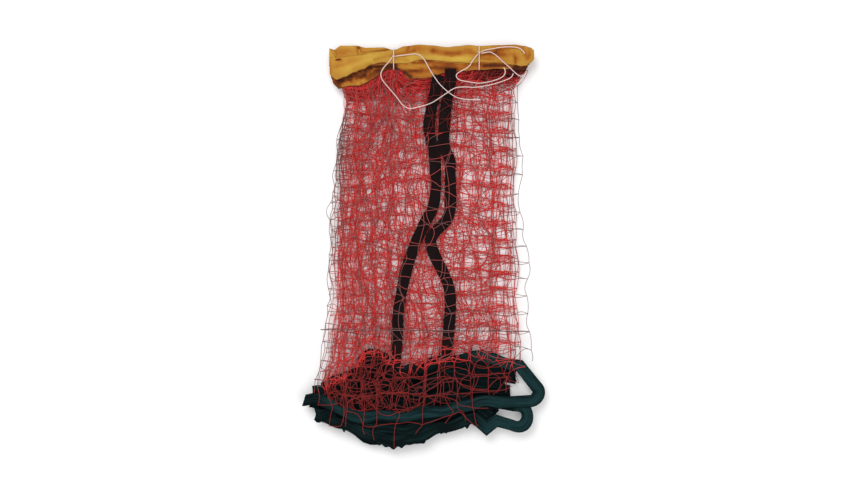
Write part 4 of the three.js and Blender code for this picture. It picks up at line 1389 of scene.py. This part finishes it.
class NET_OT_headband(bpy.types.Operator):
    """Make the doubled cotton headband, folded back and forth, with its creases"""

    bl_idname = "net.headband"
    bl_label = "Headband"

    # The tape doubled over itself: the gap between its leaves, how far the fold reaches, and points from
    # the fold to an edge as shares of its width.
    LEAF_GAP = 0.0003
    FOLD_REACH = 0.1
    HALF_SPREAD = (0.04, 0.10, 0.18, 0.27, 0.36, 0.45, 0.54, 0.63, 0.72, 0.81, 0.89, 0.96, 1)
    # Waves, as a count with their shortest and longest lengths, and their heights.
    EDGE_WAVES = (6, 0.02, 0.09)
    EDGE_WAVE = 0.0009
    PASS_SHIFT = 0.4
    SOFT_WAVES = (7, 0.03, 0.11)
    SOFT_WAVE = 0.0004
    LUMP_WAVES = (9, 0.007, 0.020)
    LUMP_WAVE = 0.0011
    # The form of a pass: full in its middle if it lies near the top, and no higher than there is room.
    PILLOW = 0.0020
    PILLOW_FADE = 2.0
    SINK = 0.0016
    TOP_ROOM = 0.0004
    DEEPEST_TROUGH = 0.0020
    HIDDEN_TROUGH = 0.001
    # The flap at the left, below the front passes: how deep its passes lie, and where it ends.
    FLAP = {"above": 2, "below": 5, "ramp": 0.5, "x": -0.060, "x_ramp": 0.02}
    # Wear and painted shade of the cotton: its baseline and most, painted shade in troughs (with painted
    # light on ridges), below the front pass, in its shadow, on the flap and on hidden passes, the painted
    # highlight on the flap's lumps, and how the painted shadow fades at the right end.
    CLEAN_WEAR = 0.30
    MOST_WEAR_AND_SHADE = 1.4
    CREASE_SHADE = 0.0055
    SHADE_BELOW_FRONT = {"from": 0.001, "ramp": 0.003, "soil": 0.50}
    SHADE = {"reach": 0.004, "soil": 0.3}
    FLAP_SHADE = 0.2
    HIDDEN_SHADE = 0.4
    LUMP_HIGHLIGHT = 0.2
    RIGHT_END_SHADE_FADE = {"x": 0.120, "ramp": 0.04, "clean": 0.6}

    def execute(self, context):
        sizes = context.scene.net_sizes
        rng = np.random.default_rng(sizes.seed)
        x, z, top, low, number = band_line()
        half = np.array(self.HALF_SPREAD)
        spread = np.concatenate([-half[::-1], [0], half])
        cross = 0.5 - np.abs(spread)
        bend = np.clip(np.abs(spread) / self.FOLD_REACH, 0, 1)
        leaf = self.LEAF_GAP * np.sign(spread) * np.sqrt(1 - (1 - bend) ** 2)
        waves = ripples(rng, *self.EDGE_WAVES)
        low = low + self.EDGE_WAVE * ripple_at(waves, x, self.PASS_SHIFT * number)
        y = low[:, None] + (top - low)[:, None] * (cross + 0.5)[None, :]
        step = unit(np.stack([np.gradient(x), np.gradient(z)], axis=1))
        x = x[:, None] - step[:, 1:] * leaf[None, :]
        z = z[:, None] + step[:, :1] * leaf[None, :]
        relief, wear_and_shade = self.relief(rng, x, y, cross, number)
        places = np.stack([draw_in_ends(x, y), y, z + relief], axis=-1)
        distance = distance_along(places[:, len(spread) // 2])
        from_edge = BAND_WIDTH * (spread + 1)
        uvs = np.stack(np.broadcast_arrays(distance[:, None], from_edge[None, :]), axis=-1)
        material = band_material(context.scene.net_colours)
        piece = cloth("headband_cotton", places, uvs, sizes.band_leaf, material, wear_and_shade)
        finish_piece(piece, "band_cloth", "headband")
        return {"FINISHED"}

    def relief(self, rng, x, y, cross, number):
        """Creases and lumps of each pass as a height above its flat form, and how worn and shaded it is
        painted.
        """
        soft = ripples(rng, *self.SOFT_WAVES)
        lumps = ripples(rng, *self.LUMP_WAVES)
        depth = (BAND_PASSES - 1 - number)[:, None]
        near_top = np.exp(-depth / self.PILLOW_FADE)
        creases = np.zeros_like(x)
        stains_and_shade = np.zeros_like(x)
        for name, lines in BAND_CREASES.items():
            mine = np.abs(depth - UPPER_PASSES.index(name)) < 0.5
            creases += np.where(mine, crease_height(lines, x, y), 0)
            stains_and_shade += np.where(mine, stain_and_shade_share(BAND_STAINS_AND_SHADE[name], x, y), 0)
        creases = np.maximum(creases, -self.DEEPEST_TROUGH - self.HIDDEN_TROUGH * ease(depth))
        flap = ease((depth - self.FLAP["above"]) / self.FLAP["ramp"])
        flap = flap * ease((self.FLAP["below"] - depth) / self.FLAP["ramp"])
        flap = flap * ease((self.FLAP["x"] - x) / self.FLAP["x_ramp"])
        ragged = flap * ripple_at(lumps, x, y)
        pillow = self.PILLOW * near_top * (1 - (2 * cross[None, :]) ** 2) - self.SINK * ease(1 - depth)
        waves = self.SOFT_WAVE * near_top * ripple_at(soft, x, y) + self.LUMP_WAVE * ragged
        height = pillow + creases + waves
        height = np.where(depth < 0.5, np.minimum(height, self.TOP_ROOM), height)
        # Painted shade below the front pass, in its shadow, on the flap and on hidden passes, with a
        # painted highlight on the flap's lumps.
        front_low = read(BAND_EDGES["front"], "x", "low", x)
        below = ease(depth * 2) * ease((front_low + self.SHADE_BELOW_FRONT["from"] - y) / self.SHADE_BELOW_FRONT["ramp"])
        shaded = below * np.exp(-np.maximum(front_low - y, 0) / self.SHADE["reach"])
        right_end = ease((x - self.RIGHT_END_SHADE_FADE["x"]) / self.RIGHT_END_SHADE_FADE["ramp"])
        hidden = ease(depth - 1) * (1 - flap)
        soil = self.SHADE_BELOW_FRONT["soil"] + self.FLAP_SHADE * flap + self.HIDDEN_SHADE * hidden
        soil = below * (soil - self.LUMP_HIGHLIGHT * np.maximum(ragged, 0))
        soil = soil + self.SHADE["soil"] * shaded * (1 - self.RIGHT_END_SHADE_FADE["clean"] * right_end)
        # Painted shade in troughs and painted light on ridges, with the listed soil and painted shade.
        wear_and_shade = self.CLEAN_WEAR + soil + stains_and_shade - creases / self.CREASE_SHADE
        return height, np.clip(wear_and_shade, 0, self.MOST_WEAR_AND_SHADE)


class NET_OT_side_tapes(bpy.types.Operator):
    """Make the two side tapes that show through the netting"""

    bl_idname = "net.side_tapes"
    bl_label = "Side tapes"

    STEP = 0.003
    POINTS_ACROSS = 13
    PINKING = 0.0028
    # Waves of the edges and of the surface, as a count with their shortest and longest lengths.
    EDGE_WAVES = (5, 0.02, 0.08)
    EDGE_WAVE = 0.0007
    SURFACE_WAVES = (6, 0.02, 0.07)
    SURFACE_WAVE = 0.0002
    RUBBED_EDGE = {"from": 0.4, "rise": 4, "most": 0.5}

    def execute(self, context):
        sizes = context.scene.net_sizes
        colours = context.scene.net_colours
        material = tape_material("side_webbing", colours.side, colours.side_light, SIDE_THREADS)
        for name, points in SIDE_TAPE_LINES.items():
            line = smooth_route([(x, y, 0) for x, y in points], self.STEP)
            tuck = SIDE_TAPE_TUCK * ease((SIDE_TAPE_TUCK_Y - line[:, 1]) / SIDE_TAPE_TUCK_RAMP)
            line[:, 2] = read(NET_TOP, "y", "z", line[:, 1]) - SIDE_TAPE_DEPTH - tuck
            rng = np.random.default_rng(sizes.seed + len(points))
            places, uvs, spread = self.places(rng, line, sizes.side_width)
            rubbed_and_lit = (np.abs(spread) - self.RUBBED_EDGE["from"]) * self.RUBBED_EDGE["rise"]
            rubbed_and_lit = np.clip(rubbed_and_lit, 0, self.RUBBED_EDGE["most"])
            wear_and_shade = np.broadcast_to(rubbed_and_lit[None, :], places.shape[:2])
            piece = cloth(name + "_webbing", places, uvs, sizes.tape, material, wear_and_shade)
            finish_piece(piece, "side_cloth", name)
        return {"FINISHED"}

    def places(self, rng, line, width):
        """Points of the tape, its edges a little uneven and its head pinked."""
        across = directions(line)[0]
        spread = np.linspace(-0.5, 0.5, self.POINTS_ACROSS)
        sway = self.EDGE_WAVE * ripple_at(ripples(rng, *self.EDGE_WAVES), line[:, 0], line[:, 1])
        reach = spread[None, :] * (width + sway[:, None])
        places = line[:, None] + across[:, None] * reach[..., None]
        places[0, 1::2, 1] += self.PINKING
        waves = ripples(rng, *self.SURFACE_WAVES)
        places[..., 2] += self.SURFACE_WAVE * ripple_at(waves, places[..., 0], places[..., 1])
        uvs = np.stack(np.broadcast_arrays(distance_along(line)[:, None], reach), axis=-1)
        return places, uvs, spread


class NET_OT_bottom_tape(bpy.types.Operator):
    """Make the bottom tape, heaped in passes, with two loops at the right"""

    bl_idname = "net.bottom_tape"
    bl_label = "Bottom tape"

    POINTS_ACROSS = 11
    # Waves of its course, edges, slope, surface and hem, as a count with the shortest and longest lengths.
    COURSE_WAVES = (6, 0.03, 0.09)
    COURSE_WAVE = 0.0022
    EDGE_WAVES = (6, 0.02, 0.1)
    EDGE_WAVE = 0.0009
    BANK_WAVES = (5, 0.05, 0.16)
    BANK = 0.22
    BUCKLE_WAVES = (8, 0.012, 0.04)
    BUCKLE = 0.0006
    RUFFLE_WAVES = (5, 0.008, 0.014)
    RUFFLE = 0.0020
    # Its form: fuller near the top of the heap, its thickness clear of the floor, longer across a corner.
    CROWN = 0.0018
    TOP_FADE = 2.5
    FLOOR_SHARE = 0.55
    SHARPEST_TURN = 0.7
    # The lowest pass, whose hem is ruffled this far from its middle, and the slanting tip of the last.
    LOWEST_PASS = 13
    HEM_Y = -0.0105
    TIP_X = -0.175
    TIP_REACH = 0.03
    TIP_SLANT = 0.35
    # Painted light and shade: how much of its lit colour the tape takes by the number of the pass (painted
    # shade on the passes below, painted light on the top passes and the loops), on the arch at the right,
    # and less at the tip.
    LIT_BY_PASS = table(
        "number share",
        (11, 0.0), (12, 0.1), (12.5, 0.8), (13, 0.1), (13.5, 0.0), (14, 0.0), (14.5, 0.8), (15, 0.6))
    ARCH = {"number": 14, "x": 0.06, "ramp": 0.04, "share": 0.8}
    TIP_DARKER = 0.8

    def execute(self, context):
        sizes = context.scene.net_sizes
        colours = context.scene.net_colours
        rng = np.random.default_rng(sizes.seed + 1)
        passes, turns = bottom_passes()
        runs = [run for pair in zip(passes, turns) for run in pair] + [passes[-1]]
        line = np.vstack(runs)
        number = np.concatenate([np.full(len(run), index / 2) for index, run in enumerate(runs)])
        distance = distance_along(line)
        shown = np.clip(number - LOWEST_SHOWN_PASS + 1, 0, 1)
        line[:, 1] += self.COURSE_WAVE * shown * wave_along(rng, self.COURSE_WAVES, distance)
        across, mitre = self.across(line)
        spread = np.linspace(-0.5, 0.5, self.POINTS_ACROSS)
        sway = self.EDGE_WAVE * wave_along(rng, self.EDGE_WAVES, distance)
        reach = spread[None, :] * (sizes.bottom_width + sway[:, None]) * mitre[:, None]
        up = across[:, 1:2] * reach
        places = line[:, None] + across[:, None] * reach[..., None]
        near_end = ease(1 - (distance[-1] - distance) / self.TIP_REACH)[:, None]
        places[..., 0] += self.TIP_SLANT * near_end * up
        places[..., 1] -= self.ruffle(rng, number, distance)[:, None] * (up < self.HEM_Y)
        top = np.exp(-(len(passes) - 1 - number) / self.TOP_FADE)[:, None]
        tilt = self.BANK * wave_along(rng, self.BANK_WAVES, distance)[:, None] * top * reach
        crown = self.CROWN * top * (1 - (2 * spread[None, :]) ** 2)
        waves = ripples(rng, *self.BUCKLE_WAVES)
        buckle = self.BUCKLE * top * ripple_at(waves, places[..., 0], places[..., 1])
        lifted = places[..., 2] + tilt + crown + buckle
        places[..., 2] = np.maximum(lifted, sizes.tape * self.FLOOR_SHARE)
        uvs = np.stack(np.broadcast_arrays(distance[:, None], reach), axis=-1)
        # Painted highlight along the tape's full middle and painted shade at its edges.
        wear_and_shade = self.rubbed_and_lit(line, number)[:, None] * np.sqrt(1 - (2 * spread[None, :]) ** 2)
        material = tape_material("bottom_webbing", colours.bottom, colours.bottom_lit, BOTTOM_THREADS)
        piece = cloth("bottom_tape_webbing", places, uvs, sizes.tape, material, wear_and_shade)
        finish_piece(piece, "bottom_cloth", "bottom_tape")
        return {"FINISHED"}

    def across(self, line):
        """Direction across the tape at each point, and how much longer it is at a corner."""
        steps = unit(np.diff(line, axis=0))
        along = unit(np.vstack([steps[:1], steps[:-1] + steps[1:], steps[-1:]]))
        turn = np.append((along[:-1] * steps).sum(1), 1.0)
        return sideways(along), 1 / np.clip(turn, self.SHARPEST_TURN, 1)

    def rubbed_and_lit(self, line, number):
        """How much light is painted on the tape: most of all on the passes that lie on top and at the
        right;
        the rest is painted shade.
        """
        share = np.interp(number, self.LIT_BY_PASS["number"], self.LIT_BY_PASS["share"])
        arch = ease((line[:, 0] - self.ARCH["x"]) / self.ARCH["ramp"]) * (number == self.ARCH["number"])
        tip = ease((self.TIP_X - line[:, 0]) / self.TIP_REACH)
        return between(share, self.ARCH["share"], arch) * (1 - self.TIP_DARKER * tip)

    def ruffle(self, rng, number, distance):
        """How far the gathered hem of the lowest pass stands out below it."""
        hem = self.RUFFLE * (1 + wave_along(rng, self.RUFFLE_WAVES, distance))
        return np.where(np.abs(number - self.LOWEST_PASS) < 0.5, hem, 0)


class NET_OT_netting(bpy.types.Operator):
    """Make the knotted twine of the netting, layer by layer, with its folds"""

    bl_idname = "net.netting"
    bl_label = "Netting"

    # Slack between two knots in meshes, rows that a twine runs on past the last one, and tints of twines.
    BOW = 0.07
    LOOSE_ROWS = 1
    FRESH_TINT = (-0.20, 0.15)
    FRONT_TINT = (0.45, 0.95)
    # The knots: their size as a share of the twine's, and their tint.
    KNOT_SHARE = 0.85
    KNOT_TINT = 0.1
    # Rows that are gathered up below the headband, counted in meshes, and how much deeper red they are
    # painted, as shade under the headband.
    HEAD_ROWS = (-0.42, -0.28, -0.14, 0.16)
    HEAD_ROW_SHADE = 0.40
    # The thread that joins two lengths of netting: its ends, its slope, its height above the top of the
    # pile and its thickness as a share of the twine's.
    JOINING = {"left": -0.192, "right": 0.191, "y": -0.1545, "slope": -0.0085, "lift": 0.001}
    JOINING_TWINE = 1.8
    JOINING_STEPS = 60
    JOINING_SIDES = 5
    # The layers of each piece, with the points along a mesh and the sides of a twine.
    GROUPS = {
        "netting_back": {"layers": range(0, 6), "steps": 4, "sides": 4},
        "netting_middle": {"layers": range(6, 8), "steps": 4, "sides": 4},
        "netting_over": {"layers": range(8, 13), "steps": 7, "sides": 4},
        "netting_front": {"layers": range(13, 16), "steps": 7, "sides": 5},
    }

    def execute(self, context):
        sizes = context.scene.net_sizes
        colours = context.scene.net_colours
        rng = np.random.default_rng(sizes.seed)
        common = [ripples(rng, *NetLayer.COMMON_WAVES) for use in range(5)]
        fold_shifts = rng.normal(0, NetLayer.SHIFT_DOWN, NET_LAYERS)
        layers = [NetLayer(number, rng, sizes, common, fold_shifts) for number in range(NET_LAYERS)]
        tints = (colours.twine, colours.twine_old, colours.twine_shaded)
        material = strand_material("net_twine", *tints, TWINE_PLIES)
        for name, fine in self.GROUPS.items():
            tubes = Tubes()
            mine = [layers[number] for number in fine["layers"]]
            for layer in mine:
                self.add_columns(tubes, layer, rng, sizes.twine / 2, fine)
                self.add_knots(tubes, layer, sizes.twine)
            under_tapes = [layer for layer in mine if not layer.covers]
            for row in self.HEAD_ROWS:
                self.add_row(tubes, under_tapes, row, rng, sizes.twine / 2, fine)
            for row in range(sizes.rows):
                self.add_row(tubes, mine, row, rng, sizes.twine / 2, fine)
            if name == "netting_front":
                self.add_joining_thread(tubes, sizes.twine / 2)
            finish_piece(tubes.build(name, material), "net_twine", "netting")
        return {"FINISHED"}

    def bows(self, rng, at):
        """Sideways slack between knots: none at each knot and a random bow between."""
        cell = np.floor(at).astype(int)
        size = rng.normal(0, self.BOW, cell.max() - cell.min() + 1)[cell - cell.min()]
        return size * np.sin(math.pi * (at - cell))

    def add_columns(self, tubes, layer, rng, radius, fine):
        """The twines that run down one layer."""
        reach = layer.rows + self.LOOSE_ROWS
        down = np.linspace(0, reach, reach * fine["steps"] + 1)
        for across in layer.column_places():
            bow = self.bows(rng, down - layer.row_start(across)) / layer.columns
            line, keep = layer.place(across + bow, down)
            tint = self.tint(rng, layer)
            for run in kept_runs(keep):
                tint_along = twine_tint(line[run], tint, layer.covers)
                tubes.add_line(line[run], radius, fine["sides"], tint_along)

    def tint(self, rng, layer):
        """How soiled one twine is: more so in the front layers."""
        return rng.uniform(*(self.FRONT_TINT if layer.covers else self.FRESH_TINT))

    def add_row(self, tubes, layers, row, rng, radius, fine):
        """One twine that runs to and fro across a few layers, round their folds."""
        points, keeps, tints, covers = [], [], [], []
        for layer in layers:
            across = np.linspace(0, 1, layer.columns * fine["steps"] + 1)
            shift = layer.column_shift * layer.slack(across, layer.SHIFT_RISE)
            bow = self.bows(rng, across * layer.columns - shift)
            line, keep = layer.place(across, row + layer.row_start(across) + bow)
            order = 1 if layer.number % 2 == 0 else -1
            points.append(line[::order])
            keeps.append(keep[::order])
            tints.append(np.full(len(line), self.tint(rng, layer)))
            covers.append(np.full(len(line), layer.covers))
        line = np.vstack(points)
        tint = twine_tint(line, np.concatenate(tints), np.concatenate(covers))
        # Painted shade: the rows under the headband are deeper red.
        if row in self.HEAD_ROWS:
            tint -= self.HEAD_ROW_SHADE
        for run in kept_runs(np.concatenate(keeps)):
            tubes.add_line(line[run], radius, fine["sides"], tint[run])

    def add_knots(self, tubes, layer, twine):
        """The knots where the twines of one layer cross."""
        crossings = np.meshgrid(layer.column_places(), np.arange(layer.rows))
        across, row = (cells.ravel() for cells in crossings)
        places, keep = layer.place(across, row + layer.row_start(across))
        tints = twine_tint(places[keep], self.KNOT_TINT, layer.covers)
        tubes.add_knots(places[keep], twine * self.KNOT_SHARE, tints)

    def add_joining_thread(self, tubes, radius):
        """The dark straight thread that joins two lengths of netting."""
        x = np.linspace(self.JOINING["left"], self.JOINING["right"], self.JOINING_STEPS)
        y = self.JOINING["y"] + self.JOINING["slope"] * (x - self.JOINING["left"])
        z = read(NET_TOP, "y", "z", y) + self.JOINING["lift"]
        line = np.stack([x, y, z], axis=1)
        tubes.add_line(line, radius * self.JOINING_TWINE, self.JOINING_SIDES, 1.0)


class NET_PT_panel(bpy.types.Panel):
    """Lists the net's pieces and sizes"""

    bl_label = "Folded Net"
    bl_idname = "NET_PT_panel"
    bl_space_type = "VIEW_3D"
    bl_region_type = "UI"
    bl_category = "Net"

    def draw(self, context):
        for piece in PIECES:
            self.layout.operator(piece.bl_idname)
        for group_of_values in (context.scene.net_sizes, context.scene.net_colours):
            box = self.layout.box()
            for key in group_of_values.__annotations__:
                box.prop(group_of_values, key)


PIECES = (NET_OT_stage, NET_OT_ties, NET_OT_headband, NET_OT_side_tapes, NET_OT_bottom_tape, NET_OT_netting)
CLASSES = (NetSizes, NetColours, *PIECES, NET_PT_panel)


def register():
    for item in CLASSES:
        bpy.utils.register_class(item)
    bpy.types.Scene.net_sizes = bpy.props.PointerProperty(type=NetSizes)
    bpy.types.Scene.net_colours = bpy.props.PointerProperty(type=NetColours)


def unregister():
    del bpy.types.Scene.net_colours
    del bpy.types.Scene.net_sizes
    for item in reversed(CLASSES):
        bpy.utils.unregister_class(item)


def main():
    """Makes the stage and every piece."""
    register()
    weave_group()
    mottle_group()
    bpy.ops.net.stage()
    bpy.ops.net.ties()
    bpy.ops.net.headband()
    bpy.ops.net.side_tapes()
    bpy.ops.net.bottom_tape()
    bpy.ops.net.netting()


if __name__ == "__main__":
    main()
